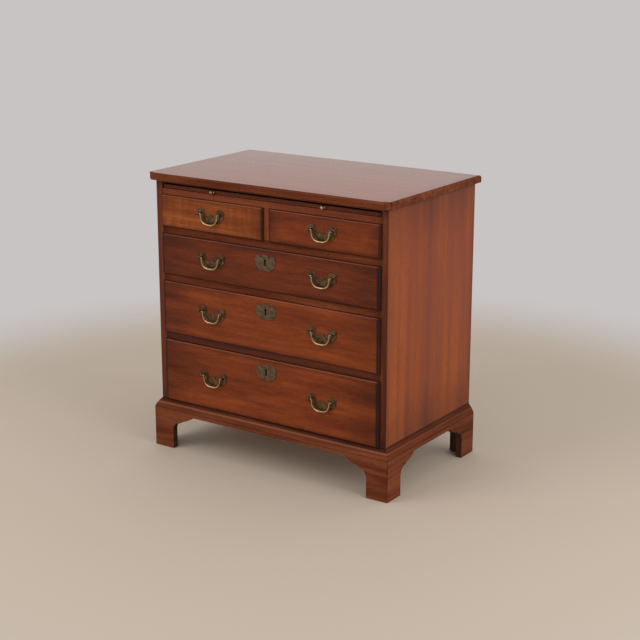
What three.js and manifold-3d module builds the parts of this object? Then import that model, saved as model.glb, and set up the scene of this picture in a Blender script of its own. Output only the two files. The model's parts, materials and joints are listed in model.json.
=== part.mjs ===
// Bachelor's chest in mahogany: two short drawers over three long ones, a brushing slide
// under the top, bracket feet, and brass bail handles with shaped backplates.
// Millimetres, +Z up. The front faces -Y. The origin is on the floor, under the middle of
// the box that holds the whole chest.

import * as THREE from 'three';
import { mergeVertices } from 'three/addons/utils/BufferGeometryUtils.js';
import Module from 'manifold-3d';

const wasm = await Module();
wasm.setup();

// Case
const caseWidth = 787;
const caseDepth = 466;
const sideThickness = 22;
const fitGap = 0.3;
const cutOverrun = 4;
const housingDepth = 8;

// Top board
const topThickness = 21.5;
const topSideOverhang = 17;
const topFrontOverhang = 25;
const topBackOverhang = 4;
const topArrisWidth = 6.5;
const topArrisDrop = 7.5;
const topUnderRadius = 3;
const cornerStep = 5;
const cornerRadius = 12.5;

// Heights of the openings, from the floor up
const footHeight = 120;
const bottomRailHeight = 30.5;
const deepOpening = 184;
const middleOpening = 152;
const shallowOpening = 116;
const shortOpening = 89;
const railThickness = 25;
const slideRailThickness = 19.5;
const slideOpening = 16.5;
const topRailThickness = 8;

// Rails, boards inside the case, and the back
const railDepth = 58;
const topRailDepth = 45;
const tenonSetback = 7;
const dividerThickness = 25;
const dustBoardThickness = 11;
const bottomBoardThickness = 15;
const backThickness = 8;
const backRebate = 11;

// Drawers
const lipProud = 8;
const lipOverlap = 2.5;
const lipEdge = 1.6;
const lipMouldWidth = 6.4;
const lipFillet = 0.9;
const frontBehindLip = 14;
const drawerSideGap = 0.8;
const drawerTopGap = 1.6;
const drawerSideThickness = 10;
const drawerBackThickness = 9;
const drawerBackDrop = 6;
const drawerBottomThickness = 6;
const drawerBottomLift = 8;
const bottomGroove = 5;
const drawerRearRoom = 14;
const tailPitch = 34;
const tailNarrow = 15;
const tailFlare = 3;
const tailLength = 11;

// Brushing slide
const slideThickness = 11.5;
const slideRearRoom = 52.5;
const slideSetback = 2.5;
const slideSideGap = 4.5;
const slideNoseRadius = 1.5;
const slideKnobSpacing = 376;
const knobRadius = 6;
const knobNeckRadius = 2.8;
const knobLength = 14;
const knobShankRadius = 1.8;
const knobShankLength = 9;
// Each row: share of the head's radius, then share of the length that stands out.
const knobHeadShares = [[0.75, 0.1], [0.8, 0.52], [1, 0.7], [0.8, 0.9], [0.35, 1]];
const knobNeckShares = [0.2, 0.38];

// Base moulding and bracket feet
const baseProjection = 17;
const baseMouldHeight = 26.4;
const ovoloLip = 1.2;
const bandHeight = 0.5;
const quirkDepth = 0.8;
const quirkHeight = 1;
// The ovolo's control point: shares of its width and height in from the outer top corner.
const ovoloFlatShares = [0.28, 0.5];
const bracketThickness = 19;
const skirtHeight = 10.5;
const footWidth = 69;
const bracketRun = 69.5;
const bracketCuspRun = 31.5;
const bracketCuspDrop = 19;
const bracketStepRun = 23;
const bracketStepDrop = 27;
const bracketCurveDrop = 51;
const rearBracketWidth = 44;
const rearBracketThickness = 18;
const rearBracketInset = 9;
const footBlockSize = 24;
const footBlockDrop = 6;

// Bail handles
const handleSpacing = 380;
const postSpacing = 76;
const postLift = 9.5;
const postStandoff = 10;
const postHeadRadius = 4.6;
const postStemRadius = 2.9;
const postFootRadius = 5.4;
const postFootHeight = 1.6;
const postShankRadius = 2.1;
const postNutRadius = 5;
const postNutHeight = 3.6;
const bailPinRadius = 1.6;
const bailLegRadius = 2;
const bailGripRadius = 2.7;
const bailDrop = 31;
const bailLegInset = 9;
const bailElbowRadius = 4;
const pinClearance = 0.7;
const plateWidth = 96;
const plateHeight = 46;
const plateThickness = 1.8;

// Escutcheons and locks
const escutcheonWidth = 70;
const escutcheonHeight = 47;
const escutcheonThickness = 1.6;
const escutcheonDrop = 39.5;
const keyholeHeadRadius = 3.3;
const keyholeFootRadius = 2.4;
const keyholeLength = 18;
const keyholeNeckDegrees = 40;
const lockWidth = 64;
const lockHeight = 42;
const lockPlateThickness = 2.2;
const lockCaseWidth = 50;
const lockCaseHeight = 36;
const lockCaseDepth = 9;

// Faceting
const arcSteps = 5;
const bailSides = 8;
const bailCurveSteps = 9;
const latheSides = 10;
const postSides = 8;
const plateSteps = 2;

// Derived levels, from the floor up
const zDeep = footHeight + bottomRailHeight;
const zMiddle = zDeep + deepOpening + railThickness;
const zShallow = zMiddle + middleOpening + railThickness;
const zShort = zShallow + shallowOpening + railThickness;
const zSlide = zShort + shortOpening + slideRailThickness;
const zTopRail = zSlide + slideOpening;
const zUnderTop = zTopRail + topRailThickness;
const overallHeight = zUnderTop + topThickness;
const halfCase = caseWidth / 2;
const halfOpening = halfCase - sideThickness;
const yFrontMost = -Math.max(topFrontOverhang, lipProud + postStandoff + postHeadRadius);
const yBackMost = caseDepth + topBackOverhang;
const boardRear = caseDepth - backRebate;

// Materials
const mahogany = { color: 0x7a3a20, roughness: 0.34, metalness: 0 };
const mahoganySide = { color: 0x8a4a2e, roughness: 0.36, metalness: 0 };
const mahoganyTop = { color: 0x8c5a44, roughness: 0.22, metalness: 0 };
const amberMahogany = { color: 0x9c5523, roughness: 0.34, metalness: 0 };
const oak = { color: 0xb08a5c, roughness: 0.7, metalness: 0 };
const pine = { color: 0xc19a66, roughness: 0.75, metalness: 0 };
const brass = { color: 0x8a7a4a, roughness: 0.38, metalness: 1 };
const ironBrass = { color: 0x7b6a44, roughness: 0.5, metalness: 1 };

const chest = new THREE.Group();
chest.position.y = -(yFrontMost + yBackMost) / 2;

/** Adds one named mesh to the chest. */
function addPiece(name, geometry, finish) {
  const mesh = new THREE.Mesh(geometry, new THREE.MeshStandardMaterial(finish));
  mesh.name = name;
  chest.add(mesh);
  return mesh;
}

/** Keeps positions only, without an index. */
function bare(geometry) {
  const flat = geometry.index ? geometry.toNonIndexed() : geometry.clone();
  for (const name of Object.keys(flat.attributes)) {
    if (name !== 'position') flat.deleteAttribute(name);
  }
  return flat;
}

function toSolid(geometry) {
  const welded = mergeVertices(bare(geometry));
  return new wasm.Manifold(new wasm.Mesh({
    numProp: 3,
    vertProperties: new Float32Array(welded.attributes.position.array),
    triVerts: new Uint32Array(welded.index.array),
  }));
}

function toGeometry(solid) {
  const mesh = solid.getMesh();
  const geometry = new THREE.BufferGeometry();
  geometry.setAttribute('position', new THREE.BufferAttribute(new Float32Array(mesh.vertProperties), 3));
  geometry.setIndex(new THREE.BufferAttribute(new Uint32Array(mesh.triVerts), 1));
  geometry.computeVertexNormals();
  return geometry;
}

function cut(geometry, cutters) {
  let solid = toSolid(geometry);
  for (const cutter of cutters) solid = solid.subtract(toSolid(cutter));
  return toGeometry(solid);
}

function join(geometries) {
  const [first, ...rest] = geometries.map(toSolid);
  return toGeometry(rest.reduce((all, next) => all.add(next), first));
}

/** A box from its two extreme corners. */
function block(x0, x1, y0, y1, z0, z1) {
  const geometry = new THREE.BoxGeometry(x1 - x0, y1 - y0, z1 - z0);
  return geometry.translate((x0 + x1) / 2, (y0 + y1) / 2, (z0 + z1) / 2);
}

/** A closed solid through rings of equal point counts, each ring flat. */
function loft(rings, flatten) {
  const count = rings[0].length;
  const positions = rings.flat().flatMap((p) => [p.x, p.y, p.z]);
  const index = [];
  for (let r = 0; r + 1 < rings.length; r += 1) {
    for (let i = 0; i < count; i += 1) {
      const a = r * count + i;
      const b = r * count + ((i + 1) % count);
      index.push(a, b, b + count, a, b + count, a + count);
    }
  }
  const cap = (ring, offset, turned) => {
    const outline = ring.map(flatten);
    const wound = THREE.ShapeUtils.isClockWise(outline);
    const order = outline.map((_, i) => (wound ? count - 1 - i : i));
    for (const tri of THREE.ShapeUtils.triangulateShape(order.map((i) => outline[i]), [])) {
      const [a, b, c] = tri.map((k) => order[k] + offset);
      index.push(...(turned === wound ? [a, b, c] : [a, c, b]));
    }
  };
  cap(rings[0], 0, true);
  cap(rings[rings.length - 1], (rings.length - 1) * count, false);
  const geometry = new THREE.BufferGeometry();
  geometry.setAttribute('position', new THREE.Float32BufferAttribute(positions, 3));
  geometry.setIndex(index);
  return facingOut(geometry);
}

/** Turns the faces of a closed solid outwards. */
function facingOut(geometry) {
  const position = geometry.attributes.position;
  const index = geometry.index.array;
  const [a, b, c] = [new THREE.Vector3(), new THREE.Vector3(), new THREE.Vector3()];
  let volume = 0;
  for (let i = 0; i < index.length; i += 3) {
    a.fromBufferAttribute(position, index[i]);
    b.fromBufferAttribute(position, index[i + 1]);
    c.fromBufferAttribute(position, index[i + 2]);
    volume += a.dot(b.cross(c));
  }
  if (volume < 0) {
    for (let i = 0; i < index.length; i += 3) {
      [index[i], index[i + 1]] = [index[i + 1], index[i]];
    }
  }
  geometry.computeVertexNormals();
  return geometry;
}

/** An upright prism from a plan outline of [x, y] pairs. */
function planPrism(outline, z0, z1) {
  const ring = (z) => outline.map(([x, y]) => new THREE.Vector3(x, y, z));
  return loft([ring(z0), ring(z1)], (p) => new THREE.Vector2(p.x, p.y));
}

/** A prism along X from an outline of [y, z] pairs. */
function sidePrism(outline, x0, x1) {
  const ring = (x) => outline.map(([y, z]) => new THREE.Vector3(x, y, z));
  return loft([ring(x0), ring(x1)], (p) => new THREE.Vector2(p.y, p.z));
}

/** Points of a quarter ellipse between two angles, the last left out when asked. */
function arcPoints(cx, cy, rx, ry, from, to, steps, last = true) {
  const points = [];
  const end = last ? steps : steps - 1;
  for (let i = 0; i <= end; i += 1) {
    const angle = THREE.MathUtils.degToRad(from + ((to - from) * i) / steps);
    points.push([cx + rx * Math.cos(angle), cy + ry * Math.sin(angle)]);
  }
  return points;
}

/** Points of a quadratic curve, with both ends. */
function bendPoints(start, control, end, steps) {
  const curve = new THREE.QuadraticBezierCurve(
    new THREE.Vector2(...start), new THREE.Vector2(...control), new THREE.Vector2(...end));
  return curve.getPoints(steps).map((p) => [p.x, p.y]);
}

// Top board: moulded edge, with a re-entrant ovolo at each front corner
function topOutline(inset) {
  const x = halfCase + topSideOverhang - inset;
  const back = caseDepth + topBackOverhang - inset;
  const front = -topFrontOverhang + inset;
  const cx = halfCase + topSideOverhang - cornerStep - cornerRadius;
  const cy = -topFrontOverhang + cornerStep + cornerRadius;
  const r = cornerRadius - inset;
  const right = [
    [cx - inset, front], [cx - inset, cy - r],
    ...arcPoints(cx, cy, r, r, -90, 0, arcSteps),
    [cx + r, cy - inset], [x, cy - inset],
  ];
  const left = right.map(([px, py]) => [-px, py]).reverse();
  return [...right, [x, back], [-x, back], ...left];
}

function topBoard() {
  const levels = [];
  const under = arcPoints(topUnderRadius, topUnderRadius, topUnderRadius, topUnderRadius, 270, 180, 3);
  for (const [px, pz] of under) levels.push([px, zUnderTop + fitGap + pz]);
  const arris = arcPoints(topArrisWidth, -topArrisDrop, topArrisWidth, topArrisDrop, 180, 90, arcSteps);
  for (const [px, pz] of arris) levels.push([px, overallHeight + pz]);
  const rings = levels.map(([inset, z]) => topOutline(inset).map(([x, y]) => new THREE.Vector3(x, y, z)));
  return loft(rings, (p) => new THREE.Vector2(p.x, p.y));
}

addPiece('top_board', topBoard(), mahoganyTop);

// Case boards: each shelf level has a front rail and a board housed in the sides behind it
const shelfLevels = [
  {
    rail: 'slide_rail', board: 'slide_bed', top: zSlide,
    height: slideRailThickness, thick: dustBoardThickness,
  },
  { rail: 'rail_1', board: 'dust_board_1', top: zShort, height: railThickness, thick: dustBoardThickness },
  { rail: 'rail_2', board: 'dust_board_2', top: zShallow, height: railThickness, thick: dustBoardThickness },
  { rail: 'rail_3', board: 'dust_board_3', top: zMiddle, height: railThickness, thick: dustBoardThickness },
  {
    rail: 'bottom_rail', board: 'bottom_board', top: zDeep,
    height: bottomRailHeight, thick: bottomBoardThickness,
  },
];

/** A front rail whose set-back tenons enter the sides. */
function frontRail(z0, z1, depth) {
  const inner = halfOpening - fitGap;
  const outer = halfOpening + housingDepth;
  return planPrism([
    [-inner, 0], [inner, 0], [inner, tenonSetback], [outer, tenonSetback], [outer, depth],
    [-outer, depth], [-outer, tenonSetback], [-inner, tenonSetback],
  ], z0, z1);
}

function caseSide(sign) {
  const inner = halfOpening * sign;
  const outer = halfCase * sign;
  const rebate = (halfOpening + housingDepth) * sign;
  const board = planPrism([
    [inner, 0], [outer, 0], [outer, caseDepth],
    [rebate, caseDepth], [rebate, boardRear], [inner, boardRear],
  ], footHeight + fitGap, zUnderTop);
  const [near, far] = [(halfOpening - cutOverrun) * sign, (halfOpening + housingDepth + fitGap) * sign];
  const [x0, x1] = [Math.min(near, far), Math.max(near, far)];
  const housings = shelfLevels.flatMap(({ top, height, thick }) => [
    block(x0, x1, tenonSetback - fitGap, railDepth + fitGap, top - height - fitGap, top + fitGap),
    block(x0, x1, railDepth, boardRear + cutOverrun, top - thick - fitGap, top + fitGap),
  ]);
  housings.push(block(x0, x1, tenonSetback - fitGap, topRailDepth + fitGap, zTopRail - fitGap,
    zUnderTop + cutOverrun));
  return cut(board, housings);
}

addPiece('side_left', caseSide(-1), mahoganySide);
addPiece('side_right', caseSide(1), mahoganySide);
for (const { rail, board, top, height, thick } of shelfLevels) {
  addPiece(rail, frontRail(top - height, top, railDepth), mahogany);
  const reach = halfOpening + housingDepth;
  addPiece(board, block(-reach, reach, railDepth + fitGap, boardRear - fitGap, top - thick, top), pine);
}
addPiece('top_rail', frontRail(zTopRail, zUnderTop, topRailDepth), mahogany);
const partitionTop = zSlide - slideRailThickness - fitGap;
addPiece('divider', planPrism([
  [-dividerThickness / 2, 0], [dividerThickness / 2, 0],
  [dividerThickness / 2, boardRear - fitGap], [-dividerThickness / 2, boardRear - fitGap],
], zShort + fitGap, partitionTop), mahogany);
const backReach = halfOpening + housingDepth - fitGap;
addPiece('back_panel', block(-backReach, backReach, boardRear + fitGap, boardRear + fitGap + backThickness,
  footHeight + fitGap, zUnderTop), pine);

// Brushing slide, with a rounded nose
const slideHalf = halfOpening - slideSideGap;
const slideBottom = zSlide + fitGap;
const slideTop = slideBottom + slideThickness;
const slideRear = boardRear - slideRearRoom;
const slideOutline = [
  ...arcPoints(slideSetback + slideNoseRadius, slideTop - slideNoseRadius, slideNoseRadius, slideNoseRadius,
    180, 90, 3),
  [slideRear, slideTop], [slideRear, slideBottom],
  ...arcPoints(slideSetback + slideNoseRadius, slideBottom + slideNoseRadius, slideNoseRadius,
    slideNoseRadius, 270, 180, 3),
];
/** A cylinder lying along Y. */
function barAlongY(x, z, radius, y0, y1, sides) {
  return new THREE.CylinderGeometry(radius, radius, y1 - y0, sides).translate(x, (y0 + y1) / 2, z);
}

/** A turned solid about an axis along -Y, from [radius, distance out] pairs. */
function turned(profile, x, y, z, sides = latheSides) {
  const points = profile.map(([radius, out]) => new THREE.Vector2(radius, out));
  const geometry = new THREE.LatheGeometry(points, sides);
  return facingOut(mergeVertices(bare(geometry).rotateX(Math.PI)).translate(x, y, z));
}

const knobHeight = (slideBottom + slideTop) / 2;
const knobPlaces = [-slideKnobSpacing / 2, slideKnobSpacing / 2];
addPiece('brushing_slide', cut(sidePrism(slideOutline, -slideHalf, slideHalf), knobPlaces.map(
  (x) => barAlongY(x, knobHeight, knobShankRadius + fitGap, slideSetback - cutOverrun,
    slideSetback + knobShankLength + fitGap, latheSides))), mahogany);

function slideKnob(x) {
  const [collar, ...head] = knobHeadShares.map(([across, out]) => [knobRadius * across, knobLength * out]);
  const neck = knobNeckShares.map((share) => [knobNeckRadius, knobLength * share]);
  return turned([
    [0, -knobShankLength], [knobShankRadius, -knobShankLength], [knobShankRadius, fitGap],
    [collar[0], fitGap], collar, ...neck, ...head, [0, knobLength],
  ], x, slideSetback, knobHeight);
}
addPiece('slide_knob_left', slideKnob(knobPlaces[0]), brass);
addPiece('slide_knob_right', slideKnob(knobPlaces[1]), brass);

// Base moulding: ovolo over a plain band, with a quirk under it, mitred at the front corners
function baseProfile() {
  const top = footHeight + baseMouldHeight;
  const ovoloBottom = footHeight + quirkHeight + bandHeight;
  const control = [baseProjection - (baseProjection - ovoloLip) * ovoloFlatShares[0],
    top - (top - ovoloBottom) * ovoloFlatShares[1]];
  return [
    [fitGap, footHeight + fitGap], [baseProjection - quirkDepth, footHeight + fitGap],
    [baseProjection - quirkDepth, footHeight + quirkHeight], [baseProjection, footHeight + quirkHeight],
    ...bendPoints([baseProjection, ovoloBottom], control, [ovoloLip, top], arcSteps), [fitGap, top],
  ];
}

function baseMoulding(sign) {
  const profile = baseProfile();
  if (sign === 0) {
    const end = (s) => profile.map(([out, z]) => new THREE.Vector3(s * (halfCase + out - fitGap), -out, z));
    return loft([end(-1), end(1)], (p) => new THREE.Vector2(p.y, p.z));
  }
  const ring = (back) => profile.map(([out, z]) => new THREE.Vector3(
    sign * (halfCase + out), back ? caseDepth : -out, z));
  return loft([ring(false), ring(true)], (p) => new THREE.Vector2(p.x, p.z));
}
addPiece('base_moulding_front', baseMoulding(0), mahogany);
addPiece('base_moulding_left', baseMoulding(-1), mahoganySide);
addPiece('base_moulding_right', baseMoulding(1), mahoganySide);

// Bracket feet: each board has a plain foot and a shaped spandrel at both ends
function footProfile() {
  const skirt = footHeight - skirtHeight;
  const cusp = [footWidth + bracketCuspRun, footHeight - skirtHeight - bracketCuspDrop];
  const step = [footWidth + bracketStepRun, footHeight - skirtHeight - bracketStepDrop];
  const shoulder = bendPoints([footWidth + bracketRun, skirt],
    [footWidth + (bracketRun * 2 + bracketCuspRun) / 3, cusp[1] + skirtHeight / 6], cusp, arcSteps);
  const spring = skirt - bracketCurveDrop;
  return [
    [footWidth, 0],
    ...arcPoints(footWidth + bracketStepRun, spring, -bracketStepRun, step[1] - spring, 0, 90, arcSteps),
    ...shoulder.reverse(),
  ];
}

/** The two faces of a bracket board, its ends drawn in by the thickness where mitred. */
function bracketBoard(length, startMitre, endMitre, place) {
  const foot = footProfile();
  const bottom = [
    [0, 0], ...foot, ...foot.map(([s, z]) => [length - s, z]).reverse(), [length, 0],
  ];
  const outline = [...bottom, [length, footHeight], [0, footHeight]];
  const ring = (depth) => outline.map(([s, z]) => {
    let along = s;
    if (s === 0) along = startMitre ? depth : 0;
    if (s === length) along = endMitre ? length - depth : length;
    return place(along, depth, z);
  });
  return [ring(0), ring(bracketThickness)];
}

const baseHalf = halfCase + baseProjection;
const frontBoard = bracketBoard(baseHalf * 2, true, true,
  (s, d, z) => new THREE.Vector3(s - baseHalf, -baseProjection + d, z));
addPiece('bracket_front', loft(frontBoard, (p) => new THREE.Vector2(p.x, p.z)), mahogany);

const rearY = caseDepth - rearBracketInset;
const bracketInner = baseHalf - bracketThickness;
for (const [side, sign] of [['left', -1], ['right', 1]]) {
  const board = bracketBoard(caseDepth + baseProjection - fitGap, true, false,
    (s, d, z) => new THREE.Vector3(sign * (baseHalf - d), -baseProjection + fitGap + s, z));
  const [a, b] = [sign * (bracketInner + bracketThickness / 2), sign * (bracketInner - footBlockSize)];
  const [x0, x1] = [Math.min(a, b), Math.max(a, b)];
  const frontY = -baseProjection + bracketThickness + fitGap;
  const backY = rearY - rearBracketThickness - fitGap;
  addPiece(`bracket_${side}`, join([
    loft(board, (p) => new THREE.Vector2(p.y, p.z)),
    block(x0, x1, frontY, frontY + footBlockSize, footBlockDrop, footHeight),
    block(x0, x1, backY - footBlockSize, backY, footBlockDrop, footHeight),
  ]), mahoganySide);
  const [c, d] = [sign * (bracketInner - fitGap), sign * (bracketInner - fitGap - rearBracketWidth)];
  addPiece(`rear_bracket_${side}`, block(Math.min(c, d), Math.max(c, d), rearY - rearBracketThickness,
    rearY, 0, footHeight), pine);
}

// Handles: a shaped plate, two posts with a cross hole, and a bail that turns in them
// Each row: corner or curve end as shares of half the width and of the height, then the control point.
const plateOutlineShares = [
  [[0, 0.69], null], [[0.13, 0.62], [0.1, 0.69]], [[0.2, 0.5], [0.14, 0.53]], [[0.34, 0.53], [0.28, 0.47]],
  [[0.43, 0.72], [0.42, 0.58]], [[0.5, 0.93], [0.42, 0.86]], [[0.74, 1], [0.58, 1.01]],
  [[0.95, 0.94], [0.88, 1]], [[1, 0.79], [1.01, 0.87]], [[0.95, 0.68], [0.99, 0.72]],
  [[0.97, 0.55], [1, 0.62]], [[0.88, 0.4], [0.96, 0.45]], [[0.72, 0.26], [0.82, 0.32]],
  [[0.55, 0.13], [0.66, 0.15]], [[0.4, 0.11], [0.47, 0.17]], [[0.16, 0.03], [0.3, 0]],
  [[0, 0.07], [0.08, 0.07]],
];
const escutcheonOutlineShares = [
  [[0, 1], null], [[0.2, 0.97], [0.1, 1]], [[0.33, 0.88], [0.3, 0.95]], [[0.42, 0.78], [0.36, 0.8]],
  [[0.54, 0.88], [0.47, 0.8]], [[0.72, 0.92], [0.6, 0.94]], [[0.9, 0.84], [0.84, 0.92]],
  [[1, 0.64], [0.98, 0.77]], [[0.96, 0.42], [1, 0.52]], [[0.84, 0.24], [0.93, 0.31]],
  [[0.62, 0.1], [0.74, 0.14]], [[0.34, 0.02], [0.5, 0.03]], [[0, 0], [0.18, 0]],
];

/** A symmetric outline from its right half, with curves between the rows. */
function mirroredOutline(shares, width, height, steps) {
  const at = ([sx, sz]) => [(sx * width) / 2, sz * height];
  const right = [at(shares[0][0])];
  shares.slice(1).forEach(([end, control], i) => {
    right.push(...bendPoints(at(shares[i][0]), at(control), at(end), steps).slice(1));
  });
  const left = right.slice(1, -1).map(([x, z]) => [-x, z]).reverse();
  return [...right, ...left];
}

/** A flat plate that lies against a drawer front, with holes in it. */
function frontPlate(outline, holes, thickness, x, y, z) {
  const shape = new THREE.Shape(outline.map(([px, pz]) => new THREE.Vector2(px, pz)));
  shape.holes = holes.map((hole) => new THREE.Path(hole.map(([px, pz]) => new THREE.Vector2(px, pz))));
  const plate = new THREE.ExtrudeGeometry(shape, { depth: thickness, bevelEnabled: false });
  return mergeVertices(bare(plate).rotateX(Math.PI / 2).translate(x, y, z));
}

const circlePoints = (x, z, radius, sides) => arcPoints(x, z, radius, radius, 0, 360, sides, false);
const plateFace = -lipProud - fitGap;

const postSeat = lipProud + fitGap + plateThickness;
const bailAxisY = -(lipProud + postStandoff);

/** A post from the nut inside the drawer to the head, before its cross hole is bored. */
function handlePost(x, z) {
  const inside = frontBehindLip + fitGap;
  const head = lipProud + postStandoff;
  return turned([
    [0, -inside - postNutHeight], [postNutRadius, -inside - postNutHeight], [postNutRadius, -inside],
    [postShankRadius, -inside], [postShankRadius, postSeat - plateThickness / 2],
    [postFootRadius, postSeat - plateThickness / 2], [postFootRadius, postSeat + postFootHeight],
    [postStemRadius, postSeat + postFootHeight * 2], [postStemRadius, head - postHeadRadius * 0.78],
    ...arcPoints(0, head, postHeadRadius, postHeadRadius, -50, 50, 3),
    [0, head + postHeadRadius],
  ], x, 0, z, postSides);
}

/** The plate with its two posts, each post's head bored for the bail. */
function handlePlate(x, z) {
  const outline = mirroredOutline(plateOutlineShares, plateWidth, plateHeight, plateSteps)
    .map(([px, pz]) => [px, pz - plateHeight / 2]);
  const plate = frontPlate(outline, [], plateThickness, x, plateFace, z);
  const places = [-1, 1].map((sign) => x + (sign * postSpacing) / 2);
  const bores = places.map((px) => new THREE.CylinderGeometry(bailPinRadius + pinClearance,
    bailPinRadius + pinClearance, postHeadRadius * 2 + cutOverrun, postSides)
    .rotateZ(Math.PI / 2).translate(px, bailAxisY, z + postLift));
  return cut(join([plate, ...places.map((px) => handlePost(px, z + postLift))]), bores);
}

/** The bail, hanging: pins out into the posts, elbows, legs and a swelled grip. */
function bail(x, z) {
  const pin = postSpacing / 2;
  const leg = pin - bailLegInset;
  const elbow = bailElbowRadius;
  const spring = -elbow * 1.6;
  const half = [[pin + bailPinRadius, 0, bailPinRadius], [leg + elbow, 0, bailPinRadius]];
  for (const [px, pz] of arcPoints(leg + elbow, -elbow, elbow, elbow, 90, 180, 3).slice(1)) {
    half.push([px, pz, bailPinRadius + (bailLegRadius - bailPinRadius) * (-pz / elbow)]);
  }
  for (let i = 0; i < bailCurveSteps; i += 1) {
    const angle = (Math.PI / 2) * (i / bailCurveSteps);
    const swell = Math.sin(angle) ** 2;
    half.push([
      leg * Math.cos(angle) ** 0.72, spring - (bailDrop + spring) * Math.sin(angle),
      bailLegRadius + (bailGripRadius - bailLegRadius) * swell,
    ]);
  }
  const grip = [0, -bailDrop, bailGripRadius];
  const path = [...half, grip, ...half.map(([px, pz, r]) => [-px, pz, r]).reverse()];
  const rings = path.map(([px, pz, r], i) => {
    const [ax, az] = path[Math.max(i - 1, 0)];
    const [bx, bz] = path[Math.min(i + 1, path.length - 1)];
    const along = new THREE.Vector3(bx - ax, 0, bz - az).normalize();
    const normal = new THREE.Vector3(-along.z, 0, along.x);
    return circlePoints(0, 0, r, bailSides).map(([u, v]) => new THREE.Vector3(
      x + px + normal.x * u, bailAxisY + v, z + pz + normal.z * u));
  });
  return loft(rings, (p) => new THREE.Vector2(p.y, p.z));
}

// Escutcheon, keyhole and lock
function keyhole(grow) {
  const head = keyholeHeadRadius + grow;
  const foot = keyholeFootRadius + grow;
  const top = keyholeLength / 2 - keyholeHeadRadius;
  const bottom = -keyholeLength / 2 + keyholeFootRadius;
  return [
    ...arcPoints(0, top, head, head, -keyholeNeckDegrees, 180 + keyholeNeckDegrees, 8),
    ...arcPoints(0, bottom, foot, foot, 180, 360, 5),
  ];
}

function escutcheon(z) {
  const outline = mirroredOutline(escutcheonOutlineShares, escutcheonWidth, escutcheonHeight, plateSteps)
    .map(([px, pz]) => [px, pz - escutcheonHeight / 2]);
  return frontPlate(outline, [keyhole(0)], escutcheonThickness, 0, plateFace, z);
}

/** The lock: a thick case behind a plate let in flush, and a selvedge in the top edge. */
function lockBody(grow, top, keyZ, back) {
  const face = back - lockPlateThickness;
  const parts = [
    block(-lockWidth / 2 - grow, lockWidth / 2 + grow, face - grow, back + grow,
      top - lockHeight - grow, top + grow),
    block(-lockCaseWidth / 2 - grow, lockCaseWidth / 2 + grow, face - lockCaseDepth - grow, face,
      top - lockCaseHeight - grow, top + grow),
  ];
  if (grow > 0) return join(parts);
  const hole = new THREE.Shape(keyhole(grow).map(([px, pz]) => new THREE.Vector2(px, pz)));
  const depth = lockCaseDepth / 2 + cutOverrun;
  const prism = new THREE.ExtrudeGeometry(hole, { depth, bevelEnabled: false });
  const cutter = prism.rotateX(Math.PI / 2).translate(0, face - lockCaseDepth / 2, keyZ);
  return cut(join(parts), [cutter]);
}

// Drawers
/** Heights where tails are centred, between two levels. */
function tailCentres(z0, z1) {
  const count = Math.max(2, Math.round((z1 - z0) / tailPitch));
  return Array.from({ length: count }, (_, i) => z0 + ((i + 0.5) * (z1 - z0)) / count);
}

/** One tail as a [y, z] outline: narrow at the shoulder, wide at its end. */
function tail(centre, shoulder, end, grow) {
  const narrow = tailNarrow / 2 + grow;
  const wide = tailNarrow / 2 + tailFlare + grow;
  const reach = end + Math.sign(end - shoulder) * grow;
  return [
    [shoulder, centre - narrow], [shoulder, centre + narrow],
    [reach, centre + wide], [reach, centre - wide],
  ];
}

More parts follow.
